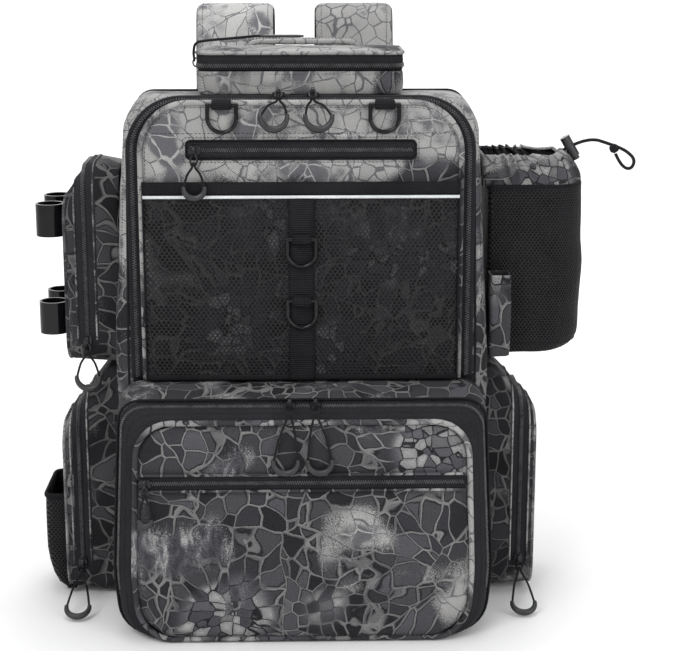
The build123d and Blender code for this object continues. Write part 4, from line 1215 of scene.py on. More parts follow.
def make_flap_webbing():
    """Hem and webbing column of the mesh pocket, and the tabs of the D-rings."""
    hem_low, hem_high = 382.4, 394.2
    hem_half = FLAP_HIGH.x - 2.6
    hem = strip("mesh_pocket_hem", -hem_half, hem_half, MESH_LOW.y + 0.5, hem_low, hem_high, "binding", 0.7)
    settle(hem, "flap", "flap_webbing", slot="webbing")
    for k, z in enumerate((hem_low + 2.2, hem_high - 2.2)):
        line = straight(3 - hem_half, hem_half - 3, MESH_LOW.y + 0.1, z)
        settle(stitches("hem_stitching_%d" % k, line, FRONT, "thread_black", 3.0, 2.1, 0.26), "flap",
               "flap_webbing", slot="webbing")
    path = [Vector((0, -68.6, z)) * MM for z in range(220, 382, 3)]
    column = sweep("webbing_column", path, flat_section(22.6, 1.5, 0.25, 9), "web", normals=FRONT)
    settle(column, "flap", "flap_webbing", slot="webbing")
    for k, side in enumerate((-1, 1)):
        line = [Vector((side * 9.4, -70.2, z)) * MM for z in range(222, 380, 4)]
        settle(stitches("column_stitching_%d" % k, line, FRONT, "thread_black", 3.0, 2.1, 0.25), "flap",
               "flap_webbing", slot="webbing")
    column_y = -69.8
    for name, face_y in (("d_ring_top_left", FLAP_LOW.y), ("d_ring_top_right", FLAP_LOW.y),
                         ("d_ring_column_upper", column_y), ("d_ring_column_lower", column_y)):
        ring_tab(name, face_y)


def ring_tab(name, face_y):
    """Folded webbing round the bar of a D-ring, sewn down below it."""
    low, high = mm_box(name)
    x = (low.x + high.x) / 2
    z = high.z - 1.75
    bar_y = face_y - 3.3
    wrap = 3.5
    path = []
    for k in range(13):
        turn = math.radians(-60 + 300 * k / 12)
        path.append(Vector((x, bar_y + wrap * math.cos(turn) * 0.95, z + wrap * math.sin(turn))) * MM)
    outs = [(p - Vector((x, bar_y, z)) * MM).normalized() for p in path]
    loop = sweep("tab_" + name, path, flat_section(16.5, 1.3, 0.15, 7), "web", normals=outs)
    settle(loop, "flap", "flap_webbing", slot="webbing")
    if name.startswith("d_ring_top"):
        over = [Vector((x, face_y - 1.4, z - 4)), Vector((x, face_y - 2.6, z + 0.4)),
                Vector((x, face_y - 0.6, z + 2.2)), Vector((x, face_y + 2.0, z + 2.9))]
        outs = [Vector((0, -1, 0)), Vector((0, -1, 0.2)), Vector((0, -0.7, 0.7)), Vector((0, 0, 1))]
        lap = sweep("tab_lap_" + name, [p * MM for p in over], flat_section(16.5, 1.2, 0.1, 7), "web",
                    normals=[o.normalized() for o in outs])
        settle(lap, "flap", "flap_webbing", slot="webbing")
    for row in (-1, 1):
        line = [Vector((x - 7.0 + 14 * k / 10, bar_y - 3.4 - 1.4, z + row * 0.9)) * MM for k in range(11)]
        settle(stitches("tab_stitching_%s_%d" % (name, row + 1), line, FRONT, "thread_black", 2.4, 1.7, 0.25),
               "flap", "flap_webbing", slot="webbing")


# ================================================================ lower front pocket

PANEL_LOW, PANEL_HIGH = mm_box("lower_flap")
RIM_Y, PANEL_Y, COVER_EDGE_Y = -124.0, -130.0, -108.4


def make_lower_gusset():
    """Gusset of the lower front pocket, with its rim, seam and stitching."""
    rings = []
    depths = [-54.0, -55.5, -58.0] + [-58.0 - 6.0 * k for k in range(1, 8)] + [-104.0, -106.5, -108.0]
    for y in depths:
        share = (y + 54.0) / (-108.0 + 54.0)
        swell = 2.2 * math.sin(math.pi * share) - 1.0 * (1 - min(1.0, (abs(y) - 54) / 4))
        rings.append(bag_ring(between(POCKET_REAR, POCKET_EDGE, share), y, -swell))
    above_floor(rings, 0.0006)
    shell = skin("lower_gusset_cloth", rings, "camo")
    rim = [bag_ring(POCKET_REAR, -55.2, 1.0), bag_ring(POCKET_REAR, -54.6, 15)]
    settle(lining(skin("lower_gusset_rim", rim, "binding"), 1.0), "pack", "lower_pocket_gusset",
           slot="black_fabric")

    def loose(place):
        share = (place.y * 1000 + 54) / -54
        return max(0.0, math.sin(math.pi * min(1, max(0, share)))) * min(1.0, place.z / 0.03)

    ruffle(shell, 1.5, 36.0, 11.0, loose)
    settle(lining(shell, 2.0, "lining"), "pack", "lower_pocket_gusset", slot="camo_fabric")
    ring = bag_ring(POCKET_EDGE, -107.8, -0.8)
    settle(tube("lower_gusset_seam", ring, 1.3, "binding", closed=True, count=8), "pack",
           "lower_pocket_gusset", slot="black_fabric")
    ring = bag_ring(POCKET_EDGE, -104.0, -0.9)
    settle(stitches("lower_gusset_stitching", ring, outward(ring), "thread", 3.6, 2.4, 0.26, closed=True),
           "pack", "lower_pocket_gusset", slot="camo_fabric")

    rings = [bag_ring(POCKET_EDGE, y, inset)
             for y, inset in ((-107.6, 3.2), (-106.6, 3.4), (-106.6, 11.5), (-107.6, 11.5))]
    rings.append(rings[0])
    settle(skin("lower_zip_inner_tape", rings, "tape"), "pack", "lower_zip_tape", slot="zip_tape")


def cover_ring(angle, extra=0.0):
    """Ring on the rounded shoulder of the lower cover: 0 degrees at its zip edge, 90 at the front panel's
    rim."""
    a = math.radians(angle)
    spec = between(COVER_EDGE, COVER_RIM, 1 - math.cos(a))
    return bag_ring(spec, COVER_EDGE_Y + (RIM_Y - COVER_EDGE_Y) * math.sin(a), -extra)


def shoulder_normal(ring, angle):
    a = math.radians(angle)
    return [(out * math.cos(a) + FRONT * math.sin(a)).normalized() for out in outward(ring)]


def make_lower_flap():
    """Flap of the lower front pocket: zip band, coil, piping and panel."""
    angles = (0, 8, 16, 24, 32, 40, 48, 56, 64, 72, 80, 88)
    rings = [cover_ring(angle) for angle in angles]
    above_floor(rings, 0.0008)
    tape = skin("lower_zip_band", rings, "tape")
    settle(lining(tape, 1.6, "lining"), "lower_flap", "lower_flap", slot="zip_tape")
    ring = cover_ring(30, 0.3)
    settle(zip_teeth("lower_zip_coil", *open_part(ring, shoulder_normal(ring, 30), lambda p: p.z >= 0.045),
                     pitch=2.1), "lower_flap",
           "lower_flap", slot="zip_tape")
    for k, angle in enumerate((8, 56)):
        ring = cover_ring(angle, 0.2)
        row = stitches("lower_zip_stitching_%d" % k, ring, shoulder_normal(ring, angle), "thread_black", 3.4,
                       2.3, 0.28, closed=True)
        settle(row, "lower_flap", "lower_flap", slot="zip_tape")
    ring = cover_ring(88, 0.6)
    above_floor([ring], 0.0012)
    settle(tube("lower_panel_piping", ring, 2.6, "camo_pipe", closed=True, count=12), "lower_flap",
           "lower_flap", slot="camo_fabric")

    half_low, half_mid, half_top, z_mid, high, low_corner, _, top_corner = COVER_RIM
    low = 1.5

    def half_at(z):
        if z < z_mid:
            base = half_low + (half_mid - half_low) * z / z_mid
        else:
            base = half_mid + (half_top - half_mid) * (z - z_mid) / (high - z_mid)
        return corner_half(z, base - 0.5, low, high - 0.5, low_corner, top_corner)

    def place(x, z):
        edge = min(half_at(z) - abs(x), z - low, high - 0.5 - z)
        soft = 1 - max(0.0, 1 - edge / 14.0) ** 2.2
        seam = math.exp(-((z - 139.0) / 5.0) ** 2) + math.exp(-((z - 154.5) / 5.0) ** 2)
        if z < PANEL_SEAM_Z:
            bulge = math.sin(math.pi * min(1.0, max(0.0, z / PANEL_SEAM_Z)))
        else:
            bulge = 0.6 * math.sin(math.pi * (z - PANEL_SEAM_Z) / (high - PANEL_SEAM_Z))
        across = 1 - (x / 150.0) ** 2
        y = RIM_Y + (PANEL_Y - RIM_Y) * soft - 2.4 * bulge * max(0.0, across) * soft + 1.0 * seam * soft
        return Vector((x, y, z))

    front = panel("lower_panel_cloth", low, high - 0.5, half_at, place, "camo", step=4.5, even_rows=True)
    ruffle(front, 0.8, 34.0, 7.0, None, (1.0, 1.0, 1.2))
    settle(lining(front, 1.8, "lining"), "lower_flap", "lower_flap", slot="camo_fabric")
    ring = bag_ring(COVER_RIM, RIM_Y - 3.6, 5.0)
    settle(stitches("lower_panel_stitching", ring, FRONT, "thread", 3.6, 2.4, 0.26, closed=True),
           "lower_flap", "lower_flap", slot="camo_fabric")


def make_panel_zip():
    """Zip across the lower panel."""
    low, high = mm_box("lower_pocket_zip")
    middle = (low.z + high.z) / 2
    half = COVER_RIM[1] - 6.0
    low.x, high.x = max(low.x, -half), min(high.x, half)
    y = low.y - 0.4
    tape = strip("panel_zip_tape", low.x, high.x, y, low.z, high.z, "tape", -0.2)
    settle(tape, "lower_flap", "lower_pocket_zip", slot="zip_tape")
    path = straight(low.x + 3, high.x - 3, y - 0.4, middle)
    settle(zip_teeth("panel_zip_coil", path, FRONT, pitch=2.0), "lower_flap", "lower_pocket_zip",
           slot="zip_tape")
    for k, (z, side) in enumerate(((low.z + 0.4, -1), (high.z - 0.4, 1))):
        fold = straight(low.x, high.x, y - 0.6, z)
        settle(tube("panel_zip_fold_%d" % k, fold, 1.25, "camo", count=8), "lower_flap", "lower_pocket_zip",
               slot="camo_fabric")
        line = straight(low.x + 2, high.x - 2, y - 0.5, z - side * 3.0)
        settle(stitches("panel_zip_stitching_%d" % k, line, FRONT, "thread_black", 3.2, 2.2, 0.26),
               "lower_flap", "lower_pocket_zip", slot="zip_tape")


# ================================================================ top case

def plan_ring(x0, x1, y0, y1, radii, z, counts=(40, 16, 40, 16)):
    points, _ = rounded([(x0, y0), (x1, y0), (x1, y1), (x0, y1)], radii, counts=list(counts))
    return [Vector((p[0], p[1], z)) * MM for p in points]


def case_ring(z, inset=0.0):
    """Level ring round the top case at height z."""
    low, high = mm_box("top_case_base")
    radii = [max(1.0, 12 - inset)] * 2 + [max(1.0, 6 - inset)] * 2
    return plan_ring(low.x + inset, high.x - inset, low.y + inset, high.y - inset, radii, z)


def faced_out(ring, normals):
    """The normals, turned round if they point to the middle of the ring."""
    middle = sum(ring, Vector()) / len(ring)
    inwards = sum((p - middle).dot(n) for p, n in zip(ring, normals)) < 0
    return [-n for n in normals] if inwards else normals


def plan_outward(ring):
    """Directions that point out of a level ring."""
    return faced_out(ring, [tangent.cross(UP) for tangent, _, _ in frames_along(ring, True, UP)])


def make_top_case():
    """Top case: box, hinge cloth and zipped lid."""
    low, high = mm_box("top_case_base")
    seam = 484.0           # where the lid meets the box
    foot_turn = 1.4        # radius of the cloth's turn at the foot
    rings = [case_ring(low.z + 0.2, 20), case_ring(low.z + 0.2, 1.5), case_ring(low.z + foot_turn, 0.2)]
    for k in range(1, 7):
        z = low.z + foot_turn + (seam - 0.2 - low.z - foot_turn) * k / 6
        rings.append(case_ring(z, -1.1 * math.sin(math.pi * k / 6)))
    base = skin("top_case_cloth", rings, "camo", first_cap=True)
    ruffle(base, 0.7, 26.0, 21.0, lambda p: 1.0 if p.z > 0.468 else 0.0)
    settle(lining(base, 1.8, "lining"), "pack", "top_case_base", slot="camo_fabric")
    rear_path = [Vector((x, high.y - 1.0, seam + 7)) * MM for x in range(int(low.x) + 9, int(high.x) - 8, 8)]
    rear = sweep("top_case_hinge_cloth", rear_path, flat_section(15.0, 1.6, 0.3), "binding",
                 normals=Vector((0, 1, 0)))
    settle(rear, "pack", "top_case_base", slot="black_fabric")
    ring = case_ring(seam - 2.6, -0.5)
    settle(stitches("top_case_stitching", ring, plan_outward(ring), "thread", 3.4, 2.3, 0.26, closed=True),
           "pack", "top_case_base", slot="camo_fabric")

    levels = [(seam + 0.5, 0.6), (seam + 2.0, 0.0), (seam + 4.6, -0.5), (seam + 8, -0.6), (seam + 11, -0.5),
              (seam + 13.4, 0.0), (seam + 14.2, 0.2)]
    rings = [case_ring(z, inset) for z, inset in levels]
    band = skin("lid_zip_band", rings, "tape")
    settle(lining(band, 1.4, "lining"), "case_lid", "top_case_lid", slot="zip_tape")
    ring = case_ring(seam + 4.6, -0.7)
    outs = plan_outward(ring)
    rear_y = (high.y - 4) * MM
    settle(zip_teeth("lid_zip_coil", *open_part(ring, outs, lambda p: p.y <= rear_y), pitch=2.0), "case_lid",
           "top_case_lid", slot="zip_tape")
    for k, up in enumerate((1.4, 8.6, 12.4)):
        ring = case_ring(seam + up, -0.6)
        settle(stitches("lid_zip_stitching_%d" % k, ring, plan_outward(ring), "thread_black", 3.0, 2.1, 0.26,
                        closed=True), "case_lid", "top_case_lid", slot="zip_tape")
    ring = case_ring(seam + 15.4, -0.4)
    settle(tube("lid_piping", ring, 1.7, "camo_pipe", closed=True), "case_lid", "top_case_lid",
           slot="camo_fabric")
    tops = []
    for inset in (0.6, 3.0, 7.0, 12.0, 18.0, 25.0, 32.0, 38.0):
        tops.append(case_ring(seam + 15.8 + 2.6 * (1 - math.exp(-inset / 9.0)), inset))
    top = skin("lid_top_cloth", tops, "camo", last_cap=True)
    ruffle(top, 0.8, 40.0, 31.0, lambda p: 1.0)
    settle(lining(top, 1.6, "lining"), "case_lid", "top_case_lid", slot="camo_fabric")


def make_carry_handle():
    """Padded handle behind the top case."""
    low, high = mm_box("carry_handle")
    middle_y = (low.y + high.y) / 2
    route = [(-58, middle_y, 459.5), (-50, middle_y, 504), (54, middle_y, 504), (62, middle_y, 459.5)]
    path = turned_path(route, [16, 16], 4.0)
    outs = []
    for tangent, _, _ in frames_along(path, False, FRONT):
        outs.append(Vector((0, 1, 0)).cross(tangent).normalized() * -1)
    handle = sweep("carry_handle_cloth", path, oval(19.0, 5.6, 24, 0.3), "camo_strap_dark", normals=outs)
    ruffle(handle, 0.5, 16.0, 3.0)
    settle(handle, "pack", "carry_handle", slot="webbing")
    for k, side in enumerate((-1, 1)):
        line = [p + Vector((0, side * 6.6 * MM, 0)) + n * (2.7 * MM) for p, n in zip(path, outs)]
        settle(stitches("handle_stitching_%d" % k, line, outs, "thread_black", 3.0, 2.0, 0.26), "pack",
               "carry_handle", slot="webbing")


def oval(width, thickness, count=20, square=0.55):
    """Oval section. A smaller square gives it flatter faces."""
    out = []
    for k in range(count):
        angle = 2 * math.pi * k / count
        c, s = math.cos(angle), math.sin(angle)
        out.append((math.copysign(abs(c) ** square, c) * width / 2,
                    math.copysign(abs(s) ** 0.8, s) * thickness / 2))
    return out


# ================================================================ side pockets

def side_ring(x, y0, y1, z0, z1, corner, counts=(14, 26, 14, 26)):
    points, _ = rounded([(y0, z0), (y1, z0), (y1, z1), (y0, z1)], [corner] * 4, counts=list(counts))
    return [Vector((x, p[0], p[1])) * MM for p in points]


def profile_at(stations, x):
    """Lowest and highest z of a side pocket at distance x from the middle."""
    for (xa, la, ha), (xb, lb, hb) in zip(stations, stations[1:]):
        if xa <= x <= xb:
            share = (x - xa) / (xb - xa)
            return la + (lb - la) * share, ha + (hb - ha) * share
    return stations[-1][1:]


def side_pocket(name, sign, stations, y_range, corner, split, band, zip_low, bodies, nodes, face_x):
    """One side pocket: camo gusset, black zip band, camo cover. stations are (x, low z, high z) outwards."""
    y0, y1 = y_range
    gusset_body, cover_body = bodies
    gusset_node, cover_node = nodes

    def ring(x, swell=0.0, inset=0.0):
        z0, z1 = profile_at(stations, x)
        return side_ring(sign * x, y0 - swell + inset, y1 + swell - inset, z0 + inset, z1 + swell - inset,
                         max(3.0, corner - inset))

    def above_end(point):
        return point.z >= zip_low * MM

    inner_x = stations[0][0] + 0.5
    gusset_xs = [inner_x + (split - 0.2 - inner_x) * k / 9 for k in range(10)]
    rings = [ring(x, 1.4 * math.sin(math.pi * k / 9)) for k, x in enumerate(gusset_xs)]
    on_tape = [p.z > zip_low * MM for p in rings[-1]]

    def gusset_paint(r, k):
        return 1 if gusset_xs[r + 1] > split - band and on_tape[k] else 0

    gusset = skin(name + "_gusset_cloth", rings, ["camo_side_painted_shade", "tape"], ring_material=gusset_paint)
    ruffle(gusset, 1.1, 30.0, split * 0.07, lambda p: min(1.0, max(0.0, (split - abs(p.x) / MM - 8) / 10)))
    settle(lining(gusset, 1.8, "lining"), gusset_body, gusset_node, slot="camo_fabric")

    cover_xs = [split + 0.2 + (face_x - 5.0 - split - 0.2) * k / 5 for k in range(6)]
    rings = [ring(x, 0.3) for x in cover_xs]
    for angle in (25, 50, 72, 90):
        a = math.radians(angle)
        rings.append(ring(face_x - 5.0 + 5.0 * math.sin(a), 0.3, 5.0 * (1 - math.cos(a))))
    for inset in (9.0, 14.0, 20.0, 27.0, 35.0, 41.0):
        bulge = 2.2 * (1 - math.exp(-(inset - 5) / 12.0))
        z0, z1 = profile_at(stations, face_x)
        rings.append(side_ring(sign * (face_x + bulge), y0 + inset, y1 - inset, z0 + inset, z1 - inset,
                               max(3.0, corner - inset * 0.6)))

    def cover_paint(r, k):
        return 1 if r < 5 and cover_xs[min(r + 1, 5)] < split + band and on_tape[k] else 0

    cover = skin(name + "_cover_cloth", rings, ["camo_side_painted_shade", "tape"], last_cap=True,
                 ring_material=cover_paint)
    ruffle(cover, 1.0, 32.0, split * 0.05, lambda p: min(1.0, max(0.0, (abs(p.x) / MM - split - 4) / 8)))
    settle(lining(cover, 1.8, "lining"), cover_body, cover_node, slot="camo_fabric")

    coil_ring = ring(split, 0.8)
    outs = side_outward(coil_ring)
    path, normals = open_part(coil_ring, outs, above_end)
    settle(zip_teeth(name + "_zip_coil", path, normals, pitch=2.0), gusset_body, gusset_node, slot="zip_tape")
    for k, (x, body, node) in enumerate(((split - band + 1.0, gusset_body, gusset_node),
                                         (split + band - 1.0, cover_body, cover_node),
                                         (split - band - 1.2, gusset_body, gusset_node))):
        line = ring(x, 1.3 if k != 1 else 0.7)
        path, normals = open_part(line, side_outward(line), above_end)
        material = "thread" if k == 2 else "thread_black"
        settle(stitches("%s_stitching_%d" % (name, k), path, normals, material, 3.2, 2.2, 0.27), body, node,
               slot="zip_tape")
        if k == 2:
            continue
        seam = ring(x + (-0.9 if k == 0 else 0.9), 1.1 if k == 0 else 0.5)
        path, normals = open_part(seam, side_outward(seam), above_end)
        settle(tube("%s_seam_%d" % (name, k), path, 0.9, "camo_pipe", count=8), body, node,
               slot="camo_fabric")
    edge = ring(face_x - 1.2, 0.2, 1.0)
    settle(tube(name + "_edge_piping", edge, 1.5, "camo_pipe", closed=True, count=8), cover_body, cover_node,
           slot="camo_fabric")


def side_outward(ring):
    """Directions that point out of a ring whose points share one x."""
    tangents = [tangent for tangent, _, _ in frames_along(ring, True, ACROSS)]
    return faced_out(ring, [tangent.cross(ACROSS).normalized() for tangent in tangents])


def make_side_pockets():
    """The three zipped side pockets."""
    side_pocket("upper_left", -1, [(160, 221, 398), (190, 222.6, 403.5), (211, 224, 372), (214, 224, 372)],
                (-24, 66), 24,
                192, 8.6, 243, ("pack", "upper_left_cover"), ("upper_left_gusset", "upper_left_cover"), 211)
    side_pocket("lower_left", -1, [(160, 1.5, 216), (176, 1.8, 216), (219, 3, 164), (222, 3, 164)], (-22, 72),
                24,
                204, 8.0, 31, ("pack", "lower_left_cover"), ("lower_left_gusset", "lower_left_cover"), 219)
    side_pocket("lower_right", 1, [(160, 1.5, 216), (175, 1.8, 216), (214, 3, 174), (217, 3, 174)], (-22, 72),
                24,
                200, 8.0, 31, ("pack", "lower_right_cover"), ("lower_right_gusset", "lower_right_cover"), 214)


def make_butt_pouch():
    """Mesh pouch for rod butts on the left side."""
    low, high = mm_box("rod_butt_pouch")
    outline = [(3.5, -220.5), (5.0, -224.0), (9.0, -229.0), (18.0, -233.5), (30.0, -237.0), (42.0, -239.0),
               (55.0, -239.6), (68.0, -239.6), (80.0, -239.2), (88.0, -238.8), (94.0, -238.6)]
    rings = []
    for z, x_out in outline:
        points, _ = rounded([(x_out, low.y), (high.x, low.y), (high.x, high.y), (x_out, high.y)],
                            [8, 1, 1, 8], counts=[6, 22, 6, 22])
        rings.append([Vector((p[0], p[1], z)) * MM for p in points])
    pouch = skin("rod_butt_pouch_mesh", rings, "mesh_side", first_cap=True)
    ruffle(pouch, 1.2, 24.0, 41.0, lambda p: 1.0 if p.x < -0.2225 and p.z < 0.088 else 0.0)
    settle(lining(pouch, 1.0), "lower_left_cover", "rod_butt_pouch", slot="black_mesh")
    ring = [p + Vector((0, 0, 0.0002)) for p in rings[-1]]
    settle(tube("rod_butt_hem", ring, 1.6, "binding", closed=True, flat=1.6, normals=UP), "lower_left_cover",
           "rod_butt_pouch", slot="black_fabric")


# ================================================================ bottle pocket

def bottle_ring(z, inset=0.0):
    """Level ring round the bottle pocket at height z."""
    low, high = mm_box("bottle_pocket")
    foot = 18.0
    right = high.x
    rise = z - low.z
    if rise < foot:
        right = high.x - foot + math.sqrt(max(0.0, foot ** 2 - (foot - rise) ** 2))
    corner = 30.0
    return plan_ring(low.x, right - inset, low.y + inset, high.y - inset, [4, corner, corner, 4], z,
                     (18, 10, 18, 10))


def make_bottle_pocket():
    """Mesh bottle pocket on the right side."""
    low, high = mm_box("bottle_pocket")
    levels = [low.z + d for d in (0.5, 2, 5, 9, 14, 20, 28)]
    levels += [low.z + 28 + 9 * k for k in range(1, 14)] + [high.z]
    rings = [[Vector((p.x * 0.5 + 0.21 * 0.5, p.y * 0.5 + 0.027 * 0.5, p.z))
              for p in bottle_ring(low.z + 2, 3)]]
    rings[0] = [Vector((p.x, p.y, (low.z + 0.4) * MM)) for p in rings[0]]
    for z in levels:
        share = (z - low.z) / (high.z - low.z)
        rings.append(bottle_ring(z, 2.2 * (1 - math.sin(math.pi * min(1, share * 1.05)) ** 0.5)))
    pocket = skin("bottle_mesh", rings, "mesh_side", first_cap=True)
    ruffle(pocket, 1.4, 38.0, 51.0, lambda p: min(1.0, max(0.0, (p.x - 0.172) / 0.02)))
    settle(lining(pocket, 0.9), "pack", "bottle_pocket", slot="black_mesh")
    hem = bottle_ring(high.z - 2.0, 2.4)
    settle(tube("bottle_hem", hem, 1.3, "binding", closed=True, flat=1.4, normals=UP), "pack",
           "bottle_pocket", slot="black_fabric")
    foot_ring = bottle_ring(low.z + 9, 1.7)
    settle(tube("bottle_foot_seam", foot_ring, 1.1, "binding", closed=True, count=8), "pack", "bottle_pocket",
           slot="black_fabric")


def make_collar():
    """Gathered cloth collar: folds grow towards the cord channel at its top."""
    _, high = mm_box("bottle_collar")
    rings = []
    levels = 12
    counts = (40, 30, 40, 12)
    for r in range(levels + 1):
        share = r / levels
        z = 380.5 + (high.z - 380.5) * share
        right = 254 - 18 * share ** 1.3 + 2.5 * math.sin(math.pi * share)
        ring = plan_ring(161.5, right, -7, 61, [4, 30, 30, 4], z, counts)
        outs = plan_outward(ring)
        moved = []
        for k, (point, out) in enumerate(zip(ring, outs)):
            along = 2 * math.pi * k / len(ring)
            fold = math.sin(along * 23 + 1.3 * math.sin(along * 5)) + 0.5 * math.sin(along * 11 + 2.0)
            depth = 0.3 + 2.0 * share ** 0.8
            hem = 1.0 if share < 0.8 else 1.0 + 0.5 * math.sin((share - 0.8) / 0.2 * math.pi)
            keep = min(1.0, max(0.0, (point.x / MM - 168) / 14))
            lift = 1.2 * math.sin(along * 23 + 0.8) * share * keep
            moved.append(point + out * (fold * depth * keep * hem * MM) + UP * (lift * MM))
        rings.append(moved)
    inner = [p + n * (-3.0 * MM) for p, n in zip(rings[-1], plan_outward(rings[-1]))]
    rings.append([p + UP * (0.8 * MM) for p in [a.lerp(b, 0.5) for a, b in zip(rings[-1], inner)]])
    rings.append([p + Vector((0, 0, -0.0015)) for p in inner])
    collar = skin("bottle_collar_cloth", rings, "camo")
    settle(lining(collar, 1.0, "lining"), "pack", "bottle_collar", slot="camo_fabric")
    line = rings[8]
    settle(stitches("collar_stitching", line, plan_outward(line), "thread_black", 3.0, 2.0, 0.25,
                    closed=True), "pack",
           "bottle_collar", slot="camo_fabric")


def make_tool_sleeve():
    """Flat open tool sleeve beside the bottle pocket."""
    low, high = mm_box("tool_sleeve")
    rings = []
    levels = [low.z + 0.4, low.z + 1.5] + [low.z + 1.5 + 8 * k for k in range(1, 9)] + [high.z - 1.0, high.z]
    for k, z in enumerate(levels):
        share = (z - low.z) / (high.z - low.z)
        inset = 1.5 if k == 0 else 0.8 * math.sin(math.pi * share) * -1
        points, _ = rounded([(low.x, low.y + inset), (high.x - inset, low.y + inset),
                             (high.x - inset, high.y - inset),
                             (low.x, high.y - inset)], [3.5] * 4, counts=[6, 8, 6, 8])
        rings.append([Vector((p[0], p[1], z)) * MM for p in points])
    sleeve = skin("tool_sleeve_cloth", rings, "camo_pipe", first_cap=True)
    ruffle(sleeve, 0.5, 18.0, 61.0)
    settle(lining(sleeve, 1.2, "lining"), "pack", "tool_sleeve", slot="camo_fabric")
    for k, drop in enumerate((3.0, 5.6)):
        ring, _ = rounded([(low.x, low.y - 0.6), (high.x + 0.6, low.y - 0.6), (high.x + 0.6, high.y + 0.6),
                           (low.x, high.y + 0.6)], [3.5] * 4, 4.0)
        line = [Vector((p[0], p[1], high.z - drop)) * MM for p in ring]
        settle(stitches("sleeve_stitching_%d" % k, line, plan_outward(line), "thread", 3.0, 2.0, 0.25,
                        closed=True),
               "pack", "tool_sleeve", slot="camo_fabric")


# ================================================================ shoulder straps

# (y, z) of a strap from the back panel, over its top and down to the ladder lock
STRAP_ROUTE = [(90.5, 398.0), (92.0, 470.0), (112.0, 536.0), (148.0, 524.0), (166.0, 420.0), (160.0, 270.0),
               (132.0, 165.0)]
STRAP_RADII = [150.0, 20.0, 22.0, 160.0, 260.0]
STRAP_SIDES = 28       # points round a strap's section


def make_strap(name, node, cloth):
    """One padded shoulder strap with its bindings and stitching."""
    low, high = mm_box(node)
    x = (low.x + high.x) / 2
    width = high.x - low.x
    path = turned_path([(x, y, z) for y, z in STRAP_ROUTE], STRAP_RADII, 5.0)
    outs = [ACROSS.cross(tangent).normalized() for tangent, _, _ in frames_along(path, False, FRONT)]
    section = oval(width + 0.5, 10.5, STRAP_SIDES, 0.30)

    strap = sweep(name + "_pad", path, section, [cloth, "air_mesh"], normals=outs)
    for index, face in enumerate(strap.data.polygons):
        angle = 360 * (index % STRAP_SIDES + 0.5) / STRAP_SIDES
        outer = 8 < angle < 172
        face.material_index = 1 if len(face.vertices) == 4 and not outer else 0
    outward_normals(strap)
    ruffle(strap, 0.7, 30.0, x * 0.1, None)
    settle(strap, "pack", node, slot="camo_fabric")
    for side in (-1, 1):
        edge = [p + ACROSS * (side * (width / 2 - 0.4) * MM) - n * (1.2 * MM) for p, n in zip(path, outs)]
        binding = sweep("%s_binding_%d" % (name, side + 1), edge, round_section(1.5, 10, 1.6), "binding",
                        normals=outs)
        settle(binding, "pack", node, slot="black_fabric")
        line = [p + ACROSS * (side * (width / 2 - 5.0) * MM) + n * (5.0 * MM) for p, n in zip(path, outs)]
        settle(stitches("%s_stitching_%d" % (name, side + 1), line, outs, "thread", 3.4, 2.3, 0.26), "pack",
               node, slot="camo_fabric")


def make_straps():
    """Both shoulder straps and the webbing below them."""
    make_strap("strap_left", "shoulder_strap_left", "camo_strap")
    make_strap("strap_right", "shoulder_strap_right", "camo_strap_dark")
    for k, x in enumerate((-61.0, 50.0)):
        route = [(x, 128.1, 130.3), (x, 118, 84), (x, 99, 48), (x, 83, 22)]
        path = turned_path(route, [60, 60], 3.0)
        outs = [ACROSS.cross(tangent).normalized() for tangent, _, _ in frames_along(path, False, FRONT)]
        web = sweep("lower_webbing_%d" % k, path, flat_section(25.0, 1.7, 0.2, 9), "web", normals=outs)
        settle(web, "pack", "lower_webbing", slot="webbing")


# ================================================================ sliders and pulls

KNOT_RISE = Vector((0, -1.2, 0.6))    # how far a pull cord's knot stands out of its knee

# slider: place, direction out of the cloth, direction that the pull hangs, axis that it travels along
SLIDERS = {
    "main_left": ((-19, -56.5, 466.9), (0, 0, 1), (0, -1, 0), "x"),
    "main_right": ((10, -56.5, 466.9), (0, 0, 1), (0, -1, 0), "x"),
    "flap_pocket": ((-91, -63.2, 421), (0, -1, 0), (0, 0, -1), "x"),
    "lower_left_front": ((-11, -117.0, 210.4), (0, 0, 1), (0, -1, 0), "x"),
    "lower_right_front": ((11, -117.0, 210.4), (0, 0, 1), (0, -1, 0), "x"),
    "panel_pocket": ((-134, -131.2, 146.5), (0, -1, 0), (0, 0, -1), "x"),
    "upper_left": ((-192, -24, 246), (0, -1, 0), (0, 0, -1), "z"),
    "lower_left": ((-204, -22, 34), (0, -1, 0), (0, 0, -1), "z"),
    "lower_right": ((200, -22, 34), (0, -1, 0), (0, 0, -1), "z"),
    "top_case": ((-90, 24, 488.6), (-1, 0, 0), (0, 0, -1), "x"),
}
# pull: pin, knee (y, z), lowest point, grip width, offset to the side, lean in degrees
PULLS = {
    "main_left": ((-19, -59.5, 471.7), (-70.8, 466.0), 437.0, 27.0, -4, 0),
    "main_right": ((10, -59.5, 471.7), (-70.8, 466.0), 437.0, 27.0, 5, 0),
    "flap_pocket": ((-91, -68.0, 418.0), (-73.0, 410.0), 379.0, 22.0, 0, 0),
    "lower_left_front": ((-11, -120.0, 215.2), (-134.6, 208.0), 153.6, 25.0, -3.5, 0),
    "lower_right_front": ((11, -120.0, 215.2), (-134.6, 208.0), 153.6, 25.0, 3.5, 0),
    "panel_pocket": ((-134, -136.0, 143.5), (-136.0, 136.0), 108.0, 14.0, 0, 0),
    "upper_left": ((-192, -28.8, 243.0), (-29.5, 236.0), 200.0, 25.0, 0, 0),
    "lower_left": ((-204, -26.8, 31.0), (-28.4, 22.0), -28.0, 25.0, 0, 58),
    "lower_right": ((200, -26.8, 31.0), (-28.4, 22.0), -28.0, 25.0, 0, 58),
}


